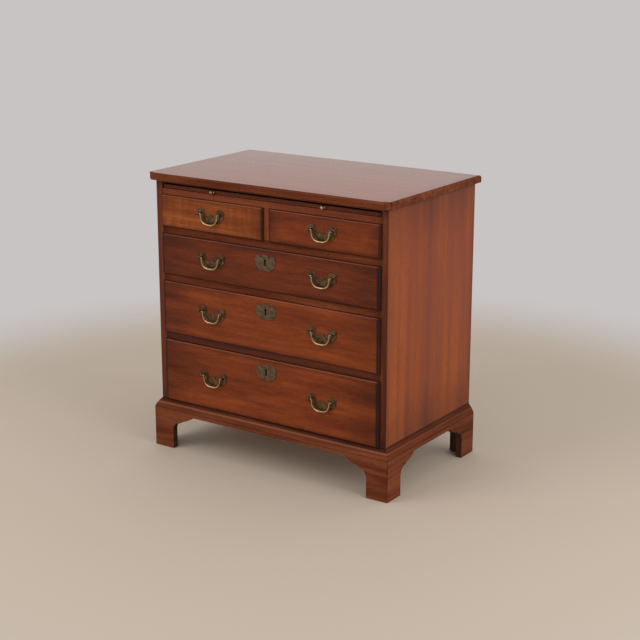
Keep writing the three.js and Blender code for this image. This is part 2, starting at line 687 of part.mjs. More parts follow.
function drawerFront(spec) {
  const { x0, x1, z0, z1, handles, locked } = spec;
  const [lx0, lx1] = [x0 - lipOverlap, x1 + lipOverlap];
  const [lz0, lz1] = [z0 - lipOverlap, z1 + lipOverlap];
  const inner = lipOverlap + drawerSideGap;
  const mouldRise = lipProud - lipFillet - lipEdge;
  const moulding = arcPoints(lipMouldWidth, lipEdge, lipMouldWidth, mouldRise, 180, 90, arcSteps);
  const rows = [
    [inner, -frontBehindLip], [inner, fitGap], [0, fitGap], [0, lipEdge],
    ...moulding.slice(1), [lipMouldWidth, lipProud],
  ];
  const rings = rows.map(([inset, out]) => [
    [lx0 + inset, lz0 + inset], [lx1 - inset, lz0 + inset],
    [lx1 - inset, lz1 - inset], [lx0 + inset, lz1 - inset],
  ].map(([x, z]) => new THREE.Vector3(x, -out, z)));
  const cutters = [];
  const [bx0, bx1] = [x0 + drawerSideGap, x1 - drawerSideGap];
  for (const [near, far] of [[bx0, bx0 + drawerSideThickness], [bx1 - drawerSideThickness, bx1]]) {
    for (const centre of tailCentres(spec.boxBottom, spec.boxTop)) {
      const outline = tail(centre, frontBehindLip + fitGap, frontBehindLip - tailLength, fitGap)
        .map(([y, z]) => [y === frontBehindLip + fitGap ? y + cutOverrun : y, z]);
      const overrunNear = near === bx0 ? cutOverrun : fitGap;
      const overrunFar = near === bx0 ? fitGap : cutOverrun;
      cutters.push(sidePrism(outline, near - overrunNear, far + overrunFar));
    }
  }
  const [gx0, gx1] = [bx0 + drawerSideThickness - bottomGroove, bx1 - drawerSideThickness + bottomGroove];
  cutters.push(block(gx0 - fitGap, gx1 + fitGap, frontBehindLip - bottomGroove - fitGap,
    frontBehindLip + cutOverrun, spec.bottomZ - fitGap, spec.bottomZ + drawerBottomThickness + fitGap));
  for (const x of handles) {
    for (const sign of [-1, 1]) {
      cutters.push(barAlongY(x + (sign * postSpacing) / 2, spec.handleZ + postLift,
        postShankRadius + fitGap, -lipProud - cutOverrun, frontBehindLip + cutOverrun, bailSides));
    }
  }
  if (locked) {
    const shape = new THREE.Shape(keyhole(0).map(([px, pz]) => new THREE.Vector2(px, pz)));
    const deep = lipProud + frontBehindLip;
    const hole = new THREE.ExtrudeGeometry(shape, { depth: deep, bevelEnabled: false });
    cutters.push(hole.rotateX(Math.PI / 2).translate(0, frontBehindLip - lockCaseDepth / 2, spec.keyZ));
    const pocket = lockBody(fitGap, spec.frontTop, spec.keyZ, frontBehindLip);
    const mouth = block(-lockWidth / 2 - fitGap, lockWidth / 2 + fitGap,
      frontBehindLip - lockPlateThickness - fitGap, frontBehindLip + cutOverrun,
      spec.frontTop - lockHeight - fitGap, spec.frontTop + cutOverrun);
    cutters.push(pocket, mouth);
  }
  return cut(loft(rings, (p) => new THREE.Vector2(p.x, p.z)), cutters);
}

/** The sides, with tails at the front, the back between them and the bottom under it. */
function drawerBox(spec) {
  const { x0, x1, boxBottom, boxTop, bottomZ, boxRear } = spec;
  const [bx0, bx1] = [x0 + drawerSideGap, x1 - drawerSideGap];
  const shoulder = frontBehindLip + fitGap;
  const outline = [[shoulder, boxBottom], [boxRear, boxBottom], [boxRear, boxTop], [shoulder, boxTop]];
  for (const centre of tailCentres(boxBottom, boxTop).reverse()) {
    const [a, b, c, d] = tail(centre, shoulder, frontBehindLip - tailLength, 0);
    outline.push(b, c, d, a);
  }
  const middle = drawerSideThickness / 2;
  return join([
    sidePrism(outline, bx0, bx0 + drawerSideThickness),
    sidePrism(outline, bx1 - drawerSideThickness, bx1),
    block(bx0 + middle, bx1 - middle, boxRear - drawerBackThickness, boxRear,
      bottomZ + drawerBottomThickness / 2, boxTop - drawerBackDrop),
    block(bx0 + drawerSideThickness - bottomGroove, bx1 - drawerSideThickness + bottomGroove,
      frontBehindLip - bottomGroove, boxRear, bottomZ, bottomZ + drawerBottomThickness),
  ]);
}

const shortHandle = handleSpacing / 2;
const drawers = [
  {
    name: 'short_left', x0: -halfOpening, x1: -dividerThickness / 2, z0: zShort, tall: shortOpening,
    handles: [['short_left', -shortHandle]], locked: false, finish: amberMahogany,
  },
  {
    name: 'short_right', x0: dividerThickness / 2, x1: halfOpening, z0: zShort, tall: shortOpening,
    handles: [['short_right', shortHandle]], locked: false, finish: mahogany,
  },
  {
    name: 'long_1', x0: -halfOpening, x1: halfOpening, z0: zShallow, tall: shallowOpening,
    handles: [['long_1_left', -shortHandle], ['long_1_right', shortHandle]],
    locked: true, finish: mahogany,
  },
  {
    name: 'long_2', x0: -halfOpening, x1: halfOpening, z0: zMiddle, tall: middleOpening,
    handles: [['long_2_left', -shortHandle], ['long_2_right', shortHandle]],
    locked: true, finish: mahogany,
  },
  {
    name: 'long_3', x0: -halfOpening, x1: halfOpening, z0: zDeep, tall: deepOpening,
    handles: [['long_3_left', -shortHandle], ['long_3_right', shortHandle]],
    locked: true, finish: mahogany,
  },
];

for (const { name, x0, x1, z0, tall, handles, locked, finish } of drawers) {
  const z1 = z0 + tall;
  const spec = {
    x0, x1, z0, z1, locked,
    handles: handles.map(([, x]) => x),
    handleZ: (z0 + z1) / 2,
    keyZ: z1 + lipOverlap - escutcheonDrop,
    frontTop: z1 - drawerSideGap,
    boxBottom: z0 + fitGap,
    boxTop: z1 - drawerTopGap,
    bottomZ: z0 + fitGap + drawerBottomLift,
    boxRear: boardRear - drawerRearRoom,
  };
  addPiece(`drawer_${name}_front`, drawerFront(spec), finish);
  addPiece(`drawer_${name}_box`, drawerBox(spec), oak);
  for (const [label, x] of handles) {
    addPiece(`handle_plate_${label}`, handlePlate(x, spec.handleZ), brass);
    addPiece(`bail_${label}`, bail(x, spec.handleZ + postLift), brass);
  }
  if (locked) {
    addPiece(`escutcheon_${name}`, escutcheon(spec.keyZ), brass);
    addPiece(`lock_${name}`, lockBody(0, spec.frontTop, spec.keyZ, frontBehindLip), ironBrass);
  }
}

export default chest;
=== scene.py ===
"""A bachelor's chest in polished mahogany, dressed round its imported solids.

The solids give every piece its place. This script gives the pieces their looks: finer mouldings
and brasses, and wood with grain, polish and toning. Lengths are metres, the front faces -Y.
"""

import json
import logging
import math
from dataclasses import dataclass, field
from enum import Enum

import bmesh
import bpy
import numpy as np
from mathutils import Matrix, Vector
from numpy.typing import ArrayLike, NDArray

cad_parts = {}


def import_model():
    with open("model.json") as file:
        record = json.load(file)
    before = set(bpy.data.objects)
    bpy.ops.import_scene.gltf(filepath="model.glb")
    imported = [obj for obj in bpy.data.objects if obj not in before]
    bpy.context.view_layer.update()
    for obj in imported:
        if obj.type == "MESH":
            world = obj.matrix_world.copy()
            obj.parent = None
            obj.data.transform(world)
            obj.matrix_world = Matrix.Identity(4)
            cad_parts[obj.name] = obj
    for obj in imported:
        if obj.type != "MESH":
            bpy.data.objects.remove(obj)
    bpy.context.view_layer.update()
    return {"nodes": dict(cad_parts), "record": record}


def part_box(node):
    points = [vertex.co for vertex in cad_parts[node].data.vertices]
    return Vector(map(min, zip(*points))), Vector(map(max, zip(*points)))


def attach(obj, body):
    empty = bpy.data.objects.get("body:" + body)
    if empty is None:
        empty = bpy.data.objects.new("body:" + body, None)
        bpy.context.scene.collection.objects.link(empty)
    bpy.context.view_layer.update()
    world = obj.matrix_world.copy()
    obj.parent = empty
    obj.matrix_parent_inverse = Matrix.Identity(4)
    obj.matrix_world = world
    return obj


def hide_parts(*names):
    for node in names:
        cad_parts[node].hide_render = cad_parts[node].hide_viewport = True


log = logging.getLogger("bachelors_chest")

Points = NDArray[np.float64]
Quads = NDArray[np.int64]
Vec2 = tuple[float, float]
Vec3 = tuple[float, float, float]
Material = bpy.types.Material
Node = bpy.types.Node
Piece = bpy.types.Object
Socket = bpy.types.NodeSocket
Tree = bpy.types.NodeTree
Inputs = dict[str | int, object] | tuple[object, ...]

MM = 0.001
FIT_GAP = 0.3 * MM
WELD = 0.002 * MM
# Edges sharper than the first stay sharp in the shading, and those sharper than the next are eased.
SHARP_DEGREES = 34
EASED_DEGREES = 40
# Triangles whose planes differ by less than this lie in one flat face.
FLAT_DEGREES = 0.2
# No size or shift along any axis.
ZERO = (0.0, 0.0, 0.0)
# A millimetre along each axis, for boxes that reach just past a board.
PAST = Vector((MM, MM, MM))
SIDES = (("left", -1), ("right", 1))


# Shapes


def points_at(x: ArrayLike, y: ArrayLike, z: ArrayLike) -> Points:
    """Points (x, y, z) from arrays or single values, each spread to the others' shape."""
    return np.stack(np.broadcast_arrays(x, y, z), -1)


def tube_quads(rings: int, points: int, first: int) -> Quads:
    """The quads of a tube: each joins points (i, j), (i+1, j), (i+1, j+1) and (i, j+1), and j goes round.

    Args:
        rings: Number of rings.
        points: Number of points in a ring.
        first: Index of the tube's first point.

    Returns:
        One row of four indices for each quad.
    """
    i, j = np.meshgrid(np.arange(rings - 1), np.arange(points), indexing="ij")
    beside = (j + 1) % points
    corners = [i * points + j, (i + 1) * points + j, (i + 1) * points + beside, i * points + beside]
    return np.stack(corners, -1).reshape(-1, 4) + first


def arc(centre: Vec2, radii: Vec2, start: float, end: float, steps: int) -> Points:
    """Points of an ellipse's arc: centre + (rx cos a, ry sin a), with a from start to end in degrees."""
    angle = np.radians(np.linspace(start, end, steps + 1))
    return np.stack([centre[0] + radii[0] * np.cos(angle), centre[1] + radii[1] * np.sin(angle)], -1)


def bend(start: Points, control: Points, end: Points, steps: int) -> Points:
    """Points of a quadratic curve: (1-t)^2 start + 2t(1-t) control + t^2 end, without its first."""
    t = np.linspace(0, 1, steps + 1)[1:, None]
    return (1 - t) ** 2 * start + 2 * t * (1 - t) * control + t**2 * end


def both_sides(right: Points) -> Points:
    """A closed outline from its right half, which starts and ends on the middle line."""
    return np.concatenate([right, right[-2:0:-1] * [-1, 1]])


def mirrored_outline(shares: tuple, width: float, height: float, steps: int) -> Points:
    """A closed outline that is the same on both sides, from its right half.

    Args:
        shares: Rows of (end, control), as shares of half the width and of the height. The first row
            is the start and has no control.
        width: Width of the whole outline.
        height: Its height; the outline is centred on it.
        steps: Points along each curve.

    Returns:
        Points as (x, z), clockwise from the middle of the top.
    """
    scale = np.array([width / 2, height])
    curves = [np.array([shares[0][0]]) * scale]
    for end, control in shares[1:]:
        curves.append(bend(curves[-1][-1], np.array(control) * scale, np.array(end) * scale, steps))
    return both_sides(np.concatenate(curves) - [0, height / 2])


def unit(vectors: Points) -> Points:
    """Vectors brought to a length of 1."""
    return vectors / np.maximum(np.linalg.norm(vectors, axis=1, keepdims=True), 1e-9)


def inset_outline(outline: Points, distance: float) -> Points:
    """The outline moved inwards, along the mean normal of the two edges at each point.

    Args:
        outline: A closed outline.
        distance: How far it moves.

    Returns:
        The moved outline, point for point.
    """
    before, after = outline - np.roll(outline, 1, 0), np.roll(outline, -1, 0) - outline
    along = unit(unit(before) + unit(after))
    normal = np.stack([along[:, 1], -along[:, 0]], -1)
    x, z = outline.T
    area = np.sum(x * np.roll(z, -1) - np.roll(x, -1) * z)
    return outline - normal * distance * np.sign(area)


def turned(profile: Points, seat: Vec3, steps: int) -> Points:
    """A profile turned round an axis along -Y: (x + r cos a, y - out, z + r sin a).

    Args:
        profile: Rows of (radius, distance out).
        seat: Where the axis meets the face that carries the piece.
        steps: Points round the axis.

    Returns:
        A ring of points for each point of the profile.
    """
    angle = np.linspace(0, 2 * np.pi, steps, endpoint=False)
    radius, out = profile[:, :1], profile[:, 1:]
    return points_at(seat[0] + radius * np.cos(angle), seat[1] - out, seat[2] + radius * np.sin(angle))


def on_face(outline: Points, seat: Vec3, out: float) -> Points:
    """An outline (x, z) round a seat, at a distance out from the seat's face, which looks to -Y."""
    return points_at(seat[0] + outline[:, 0], seat[1] - out, seat[2] + outline[:, 1])


# Rows of (way in, drop below the face) for a plate's filed bevel, as shares of the bevel's width.
BEVEL_SHARES = ((0, 0.6), (0.35, 0.15), (1, 0))


def filed_edge(outline: Points, seat: Vec3, thickness: float, bevel: float) -> Points:
    """Rings up a plate's edge and in over the filed bevel round its face.

    Args:
        outline: The plate's outline (x, z).
        seat: The outline's origin, on the face that carries the plate.
        thickness: The plate's thickness.
        bevel: Width of the bevel.

    Returns:
        The rings, from the plate's back to its flat face.
    """
    levels = [(0.0, 0.0), *((bevel * way, thickness - bevel * drop) for way, drop in BEVEL_SHARES)]
    return np.stack([on_face(inset_outline(outline, inset), seat, out) for inset, out in levels])


@dataclass
class Shell:
    """Surfaces that are gathered into one closed mesh."""

    points: list[Points] = field(default_factory=list)
    faces: list[list[int]] = field(default_factory=list)
    count: int = 0

    def _add(self, points: Points, faces: list[list[int]]) -> "Shell":
        """Adds points and their faces.

        Args:
            points: The points.
            faces: For each face, the indices of its points in the whole shell.

        Returns:
            The shell.
        """
        self.points.append(points)
        self.faces.extend(faces)
        self.count += len(points)
        return self

    def tube(self, rings: Points) -> "Shell":
        """Adds an open tube through rings of points, and returns the shell."""
        return self._add(rings.reshape(-1, 3), tube_quads(*rings.shape[:2], self.count).tolist())

    def cap(self, ring: Points) -> "Shell":
        """Adds one flat face over a ring of points, and returns the shell."""
        return self._add(ring, [list(range(self.count, self.count + len(ring)))])

    def closed(self, rings: list[Points] | Points) -> "Shell":
        """Adds a tube through rings of points, with a flat face on both ends, and returns the shell."""
        return self.tube(np.stack(rings)).cap(rings[0]).cap(rings[-1])

    def build(self, name: str) -> Piece:
        """Makes the piece of this name.

        Args:
            name: The piece's name.

        Returns:
            The piece, at the origin.
        """
        mesh = bpy.data.meshes.new(name)
        mesh.from_pydata(np.concatenate(self.points).tolist(), [], self.faces)
        return finish_mesh(mesh)


def finish_mesh(mesh: bpy.types.Mesh, flatten: bool = False) -> Piece:
    """Welds a mesh, turns its faces outwards and shades it smooth but for its sharp edges.

    Args:
        mesh: The mesh, which has the piece's name.
        flatten: Triangles that lie in one plane become one face.

    Returns:
        The piece, linked to the scene at the origin.
    """
    work = bmesh.new()
    work.from_mesh(mesh)
    bmesh.ops.remove_doubles(work, verts=work.verts, dist=WELD)
    bmesh.ops.dissolve_degenerate(work, edges=work.edges, dist=WELD)
    if flatten:
        limit = math.radians(FLAT_DEGREES)
        bmesh.ops.dissolve_limit(work, angle_limit=limit, verts=work.verts, edges=work.edges)
    bmesh.ops.recalc_face_normals(work, faces=work.faces)
    work.to_mesh(mesh)
    work.free()
    mesh.polygons.foreach_set("use_smooth", np.ones(len(mesh.polygons), bool))
    mesh.set_sharp_from_angle(angle=math.radians(SHARP_DEGREES))
    piece = bpy.data.objects.new(mesh.name, mesh)
    bpy.context.scene.collection.objects.link(piece)
    return piece


def refined(node: Piece, name: str, edge: float) -> Piece:
    """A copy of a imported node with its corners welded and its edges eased.

    Args:
        node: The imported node.
        name: The new piece's name.
        edge: Width of the eased edges.

    Returns:
        The new piece.
    """
    source = node.data
    points = np.empty(len(source.vertices) * 3)
    source.vertices.foreach_get("co", points)
    corners = np.empty(len(source.loops), np.int64)
    source.loops.foreach_get("vertex_index", corners)
    mesh = bpy.data.meshes.new(name)
    mesh.from_pydata(points.reshape(-1, 3).tolist(), [], corners.reshape(-1, 3).tolist())
    piece = finish_mesh(mesh, flatten=True)
    ease_edges(piece, edge)
    return piece


def ease_edges(piece: Piece, width: float) -> None:
    """Rounds a piece's sharp edges, as sandpaper and handling do.

    Args:
        piece: The piece.
        width: Width of the rounding.
    """
    bevel = piece.modifiers.new("eased_edges", "BEVEL")
    bevel.width = width
    bevel.segments = 2
    bevel.limit_method = "ANGLE"
    bevel.angle_limit = math.radians(EASED_DEGREES)
    bevel.use_clamp_overlap = True
    bevel.harden_normals = True


# Finishes


def linear(hex_colour: str) -> tuple[float, float, float, float]:
    """An sRGB hex colour as linear red, green, blue and full alpha."""
    parts = np.array([int(hex_colour[k : k + 2], 16) for k in (1, 3, 5)]) / 255
    return (*np.where(parts <= 0.04045, parts / 12.92, ((parts + 0.055) / 1.055) ** 2.4).tolist(), 1.0)


def add_node(tree: Tree, kind: str, inputs: Inputs = (), **settings: object) -> Node:
    """Adds a shader node with its settings and links.

    Args:
        tree: The node tree.
        kind: The node's type, without the word ShaderNode.
        inputs: A node, a socket or a value for each input, by name or in the node's own order, which
            for a map range is value, from min, from max, to min, to max. A node gives its first output.
        settings: The node's own settings.

    Returns:
        The node.
    """
    node = tree.nodes.new(f"ShaderNode{kind}")
    for key, value in settings.items():
        setattr(node, key, value)
    keyed = inputs if isinstance(inputs, dict) else dict(enumerate(inputs))
    for key, value in keyed.items():
        source = value.outputs[0] if isinstance(value, Node) else value
        if isinstance(source, Socket):
            tree.links.new(source, node.inputs[key])
        else:
            node.inputs[key].default_value = source
    return node


def new_material(name: str) -> tuple[Material, Tree, Socket]:
    """A material with nothing in it but the place on its piece.

    Args:
        name: The material's name.

    Returns:
        The material, its node tree, and the place on the piece in metres.
    """
    material = bpy.data.materials.new(name)
    material.use_nodes = True
    tree = material.node_tree
    tree.nodes.clear()
    return material, tree, add_node(tree, "TexCoord").outputs["Object"]


def surface(tree: Tree, inputs: Inputs) -> None:
    """Ends a material's tree with the shader and the output."""
    add_node(tree, "OutputMaterial", {"Surface": add_node(tree, "BsdfPrincipled", inputs)})


# What toning and painted shade towards a board's ends multiply the wood's colour by, the painted shade
# of narrow dark lines along edges and under lips, a painted highlight along a moulding or lip, and the
# painted shade inside a keyhole.
TONE_AND_SHADE = "#5a4a44"
RIM_SHADE = "#20120d"
PAINTED_HIGHLIGHT = "#985e42"
KEYHOLE_WELL_SHADE = "#0b0604"
# The painted shade of a keyhole fades out between these distances from its centre, under the escutcheon.
WELL_RADII = (11 * MM, 13 * MM)
# Toning and painted shade, and painted highlights, are broken up by the figure: between the first two
# values of its noise, their share is multiplied by the third to the fourth.
TONE_AND_SHADE_BREAKS = (0.35, 0.65, 1.3, 0.7)
HIGHLIGHT_BREAKS = (0.35, 0.6, 0.5, 1.0)
# The part of a rim, next to the board's end, that has the rim's whole depth.
RIM_FULL = 0.5
# The grain wanders sideways by the sweep, this many times in a metre.
SWEEP = 35 * MM
SWEEPS = 2.2
# Pores are this share of the other cells' length, and bars of mottle this many times longer than wide.
PORE_LENGTH = 0.3
BAR_STRETCH = 5.0
# How much each pattern gives to the tone.
TONE_SHARES = {"bars": 0.2, "ribbon": 0.34, "fibre": 0.24, "figure": 0.42}
# At a contrast of 1, the tone runs from dark to light over this much on both sides of its middle.
TONE_SPREAD = 0.13
# The values of their noise between which pores open, and of the ribbon between which polish dulls.
PORES_OPEN = (0.56, 0.7)
POLISH_DULLS = (0.3, 0.7)
# How much smoother and rougher than its mean the polish gets, and how strongly the fibres stand out.
SMOOTHER = 0.05
ROUGHER = 0.07
FIBRE_BUMP = 0.35


class Grain(Enum):
    """The axis that a board's grain runs along."""

    ACROSS = 0
    DEEP = 1
    UPRIGHT = 2

    @property
    def across(self) -> "Grain":
        """The axis on the board's face that crosses the grain."""
        return Grain.DEEP if self is Grain.UPRIGHT else Grain.UPRIGHT


@dataclass(frozen=True)
class EdgeShade:
    """Darker towards a board's ends: partly toning, partly painted shade under overhangs and in corners.

    The wide part fades in over a reach. The rim is a narrow line of painted shade along edges and under lips.
    """

    centre: Vec3
    half: Vec3
    reach: Vec3
    depth: float
    rim: Vec3
    rim_depth: float

    @classmethod
    def on(
        cls,
        node: str,
        reach: Vec3,
        depth: float,
        rim: Vec3 = ZERO,
        bottom: float | None = None,
        move: Vec3 = ZERO,
        rim_depth: float = 0.85,
    ) -> "EdgeShade":
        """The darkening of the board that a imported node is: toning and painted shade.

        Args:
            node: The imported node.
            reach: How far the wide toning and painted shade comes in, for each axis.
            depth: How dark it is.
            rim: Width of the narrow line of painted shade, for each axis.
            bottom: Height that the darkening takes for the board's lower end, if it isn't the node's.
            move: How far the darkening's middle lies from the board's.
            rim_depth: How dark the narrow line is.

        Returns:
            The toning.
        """
        low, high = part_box(node)
        low.z = low.z if bottom is None else bottom
        centre = (low + high) / 2 + Vector(move)
        return cls(tuple(centre), tuple((high - low) / 2), reach, depth, rim, rim_depth)

    def rise(self, tree: Tree, place: Socket, reach: Vec3, depth: float, full: float) -> Node | float:
        """A share that rises from 0 inside the board to a depth at its ends: the largest of the axes'.

        Args:
            tree: The node tree.
            place: The place on the board.
            reach: How far from each axis's ends the share starts; an axis with 0 has none.
            depth: The share at the ends.
            full: The part of the reach, next to the end, that has the whole depth.

        Returns:
            The share.
        """
        parts = add_node(tree, "SeparateXYZ", (place,))
        most: Node | float = 0.0
        for k in [axis for axis in range(3) if reach[axis] > 0]:
            away = add_node(tree, "Math", (parts.outputs[k], self.centre[k]), operation="SUBTRACT")
            away = add_node(tree, "Math", (away,), operation="ABSOLUTE")
            span = (self.half[k] - reach[k], self.half[k] - reach[k] * full)
            rise = add_node(tree, "MapRange", (away, *span, 0.0, depth), interpolation_type="SMOOTHSTEP")
            most = add_node(tree, "Math", (most, rise), operation="MAXIMUM")
        return most


@dataclass(frozen=True)
class PaintedHighlight:
    """A painted highlight: a pale, bright line at one height along the edge of a moulding or a lip."""

    height: float
    reach: float
    depth: float

    def share(self, tree: Tree, place: Socket, figure: Node) -> Node:
        """A share that is greatest at the highlight's height and 0 beyond its reach, broken up by the figure.

        Args:
            tree: The node tree.
            place: The place on the board.
            figure: The wood's figure.

        Returns:
            The share.
        """
        height = add_node(tree, "SeparateXYZ", (place,)).outputs["Z"]
        away = add_node(tree, "Math", (height, self.height), operation="SUBTRACT")
        away = add_node(tree, "Math", (away,), operation="ABSOLUTE")
        span = (away, 0.0, self.reach, self.depth, 0.0)
        line = add_node(tree, "MapRange", span, interpolation_type="SMOOTHSTEP")
        broken = add_node(tree, "MapRange", (figure, *HIGHLIGHT_BREAKS))
        return add_node(tree, "Math", (line, broken), operation="MULTIPLY")


@dataclass(frozen=True)
class Board:
    """How one board was cut: its grain, the stretch of timber it came from, its toning and its painted light.
    """

    label: str
    grain: Grain
    place: Vec3 = ZERO
    tilt: float = 0.0
    shade: EdgeShade | None = None
    keyhole: Vec2 | None = None
    light: float = 0.0
    rub: PaintedHighlight | None = None


@dataclass(frozen=True)
class Timber:
    """Solid wood with figure, ribbon, fibre and pores, under its finish.

    The scales are real widths across the grain. Real fibres and pores are a quarter as wide, and
    are drawn this coarse so that they show at arm's length.
    """

    name: str
    slot: str
    dark: str
    middle: str
    light: str
    pore_colour: str
    figure: float = 60 * MM
    ribbon: float = 15 * MM
    fibre: float = 2.4 * MM
    pore: float = 1.3 * MM
    pore_share: float = 0.4
    mottle: float = 0.0
    stretch: float = 24.0
    contrast: float = 1.1
    roughness: float = 0.36
    specular: float = 0.15
    polish: float = 0.06
    polish_roughness: float = 0.14
    relief: float = 0.12 * MM

    def material(self, board: Board) -> Material:
        """The wood's material for one board.

        Args:
            board: How the board was cut.

        Returns:
            The material.
        """
        material, tree, place = new_material(f"{self.name}_{board.label}")
        noises = self._noises(tree, place, board)
        tone: Node | float = board.light - (TONE_SHARES["bars"] / 2 if self.mottle else 0.0)
        for name, share in TONE_SHARES.items():
            if name in noises:
                tone = add_node(tree, "Math", (noises[name], share, tone), operation="MULTIPLY_ADD")
        ramp = add_node(tree, "ValToRGB", (tone,))
        stops = ramp.color_ramp.elements
        for stop, side, colour in zip(stops, (-1, 1), (self.dark, self.light)):
            stop.position = 0.5 + side * TONE_SPREAD / self.contrast
            stop.color = linear(colour)
        stops.new(0.5).color = linear(self.middle)
        pores = add_node(tree, "MapRange", (noises["pores"], *PORES_OPEN, 0.0, self.pore_share))
        layers = [(pores, self.pore_colour, "MIX"), *self._layers(tree, place, noises["figure"], board)]
        wood = ramp.outputs["Color"]
        for share, colour, blend in layers:
            mix = {0: share, 6: wood, 7: linear(colour)}
            wood = add_node(tree, "Mix", mix, data_type="RGBA", blend_type=blend).outputs[2]
        dulling = (self.roughness - SMOOTHER, self.roughness + ROUGHER)
        height = add_node(tree, "Math", (noises["fibre"], pores), operation="SUBTRACT")
        finish = {
            "Base Color": wood,
            "Roughness": add_node(tree, "MapRange", (noises["ribbon"], *POLISH_DULLS, *dulling)),
            "Normal": add_node(
                tree, "Bump", {"Strength": FIBRE_BUMP, "Distance": self.relief, "Height": height}
            ),
            "Specular IOR Level": self.specular,
            "Coat Weight": self.polish,
            "Coat Roughness": self.polish_roughness,
        }
        surface(tree, finish)
        return material

    def _noises(self, tree: Tree, place: Socket, board: Board) -> dict[str, Node]:
        """The wood's patterns: noises whose cells are stretched along the swept grain.

        Args:
            tree: The node tree.
            place: The place on the board.
            board: How the board was cut.

        Returns:
            The noise of each pattern that the wood has.
        """
        turn = [0.0, 0.0, 0.0]
        turn[2 if board.grain is Grain.DEEP else 1] = math.radians(board.tilt)
        plank = add_node(tree, "Mapping", {"Vector": place, "Location": board.place, "Rotation": turn})
        sweep = add_node(tree, "TexNoise", {"Vector": plank, "Scale": SWEEPS, "Detail": 1.0})
        added = (sweep.outputs["Color"], (SWEEP, SWEEP, SWEEP), plank)
        swept = add_node(tree, "VectorMath", added, operation="MULTIPLY_ADD")
        # For each pattern: its cells' width, its octaves, the axis it is stretched along, and how far.
        patterns = {
            "figure": (self.figure, 3.0, board.grain, self.stretch),
            "ribbon": (self.ribbon, 2.0, board.grain, self.stretch),
            "fibre": (self.fibre, 2.0, board.grain, self.stretch),
            "pores": (self.pore, 1.0, board.grain, self.stretch * PORE_LENGTH),
            "bars": (self.mottle, 1.0, board.grain.across, BAR_STRETCH),
        }
        noises = {}
        for name, (width, detail, along, stretch) in patterns.items():
            if width > 0:
                scale = [1.0, 1.0, 1.0]
                scale[along.value] = 1.0 / stretch
                cells = add_node(tree, "Mapping", {"Vector": swept, "Scale": scale})
                noise = {"Vector": cells, "Scale": 1.0 / width, "Detail": detail}
                noises[name] = add_node(tree, "TexNoise", noise)
        return noises

    def _layers(self, tree: Tree, place: Socket, figure: Node, board: Board) -> list[tuple]:
        """What lies over the bare wood: toning, painted shade and a painted highlight.

        Args:
            tree: The node tree.
            place: The place on the board.
            figure: The wood's figure.
            board: How the board was cut.

        Returns:
            The share, colour and way of mixing of each layer, from the wood outwards.
        """
        layers: list[tuple] = []
        shade = board.shade
        if shade is not None:
            # Toning towards the board's ends, and painted shade where they lie under an overhang or in a
            # corner.
            ends = shade.rise(tree, place, shade.reach, shade.depth, 0.0)
            broken = add_node(tree, "MapRange", (figure, *TONE_AND_SHADE_BREAKS))
            wide = add_node(tree, "Math", (ends, broken), operation="MULTIPLY", use_clamp=True)
            layers.append((wide, TONE_AND_SHADE, "MULTIPLY"))
        if board.rub is not None:
            layers.append((board.rub.share(tree, place, figure), PAINTED_HIGHLIGHT, "MIX"))
        if shade is not None:
            # Narrow lines of painted shade along the board's edges and under its lips.
            layers.append((shade.rise(tree, place, shade.rim, shade.rim_depth, RIM_FULL), RIM_SHADE, "MIX"))
        # Painted shade inside the keyhole.
        if board.keyhole is not None:
            x, z = board.keyhole
            seen = {"Vector": place, "Location": (-x, 0.0, -z), "Scale": (1.0, 0.0, 1.0)}
            flat = add_node(tree, "Mapping", seen)
            away = add_node(tree, "VectorMath", (flat,), operation="LENGTH").outputs["Value"]
            well = add_node(tree, "MapRange", (away, *WELL_RADII, 1.0, 0.0))
            layers.append((well, KEYHOLE_WELL_SHADE, "MIX"))
        return layers


@dataclass(frozen=True)
class CastBrass:
    """Cast brass, filed bright, then toned brown and rubbed again by hands and dusters."""

    name: str
    slot: str
    bright: str
    toned: str
    patch: float = 7 * MM
    toned_from: float = 0.42
    toned_to: float = 0.6
    roughness: float = 0.3
    toned_roughness: float = 0.5
    fine_share: float = 0.3
    pitting: float = 0.25
    pit_depth: float = 0.12 * MM

    def material(self) -> Material:
        """The brass's material: bright metal where rubbed, brown and duller where toned.

        Returns:
            The material.
        """
        material, tree, place = new_material(self.name)
        broad = add_node(tree, "TexNoise", {"Vector": place, "Scale": 1 / self.patch, "Detail": 4.0})
        fine = add_node(tree, "TexNoise", {"Vector": place, "Scale": 6 / self.patch, "Detail": 2.0})
        both: Node | float = 0.0
        for noise, share in ((fine, self.fine_share), (broad, 1 - self.fine_share)):
            both = add_node(tree, "Math", (noise, share, both), operation="MULTIPLY_ADD")
        toned = add_node(tree, "MapRange", (both, self.toned_from, self.toned_to))
        mix = {0: toned, 6: linear(self.bright), 7: linear(self.toned)}
        colour = add_node(tree, "Mix", mix, data_type="RGBA").outputs[2]
        rough = add_node(tree, "MapRange", (toned, 0.0, 1.0, self.roughness, self.toned_roughness))
        pits = {"Strength": self.pitting, "Distance": self.pit_depth, "Height": fine}
        bump = add_node(tree, "Bump", pits)
        surface(tree, {"Base Color": colour, "Metallic": 1.0, "Roughness": rough, "Normal": bump})
        return material


# Each timber's four colours are those of its dark, middle and light wood and of its pores.

# Mahogany under old shellac on the fronts: red-brown, with fine grain and a soft low gloss.
FRONT_WOOD = Timber(
    "front_mahogany", "mahogany", "#5c260f", "#7a3513", "#93461c", "#36160a",
    figure=46 * MM, ribbon=13 * MM, stretch=9.0, contrast=0.78,
)
# The left short drawer was cut from a more orange plank, with soft bars of figure across its grain.
AMBER_WOOD = Timber(
    "amber_mahogany", "amber_mahogany", "#743610", "#88441a", "#9f5622", "#4b240c", mottle=15 * MM
)
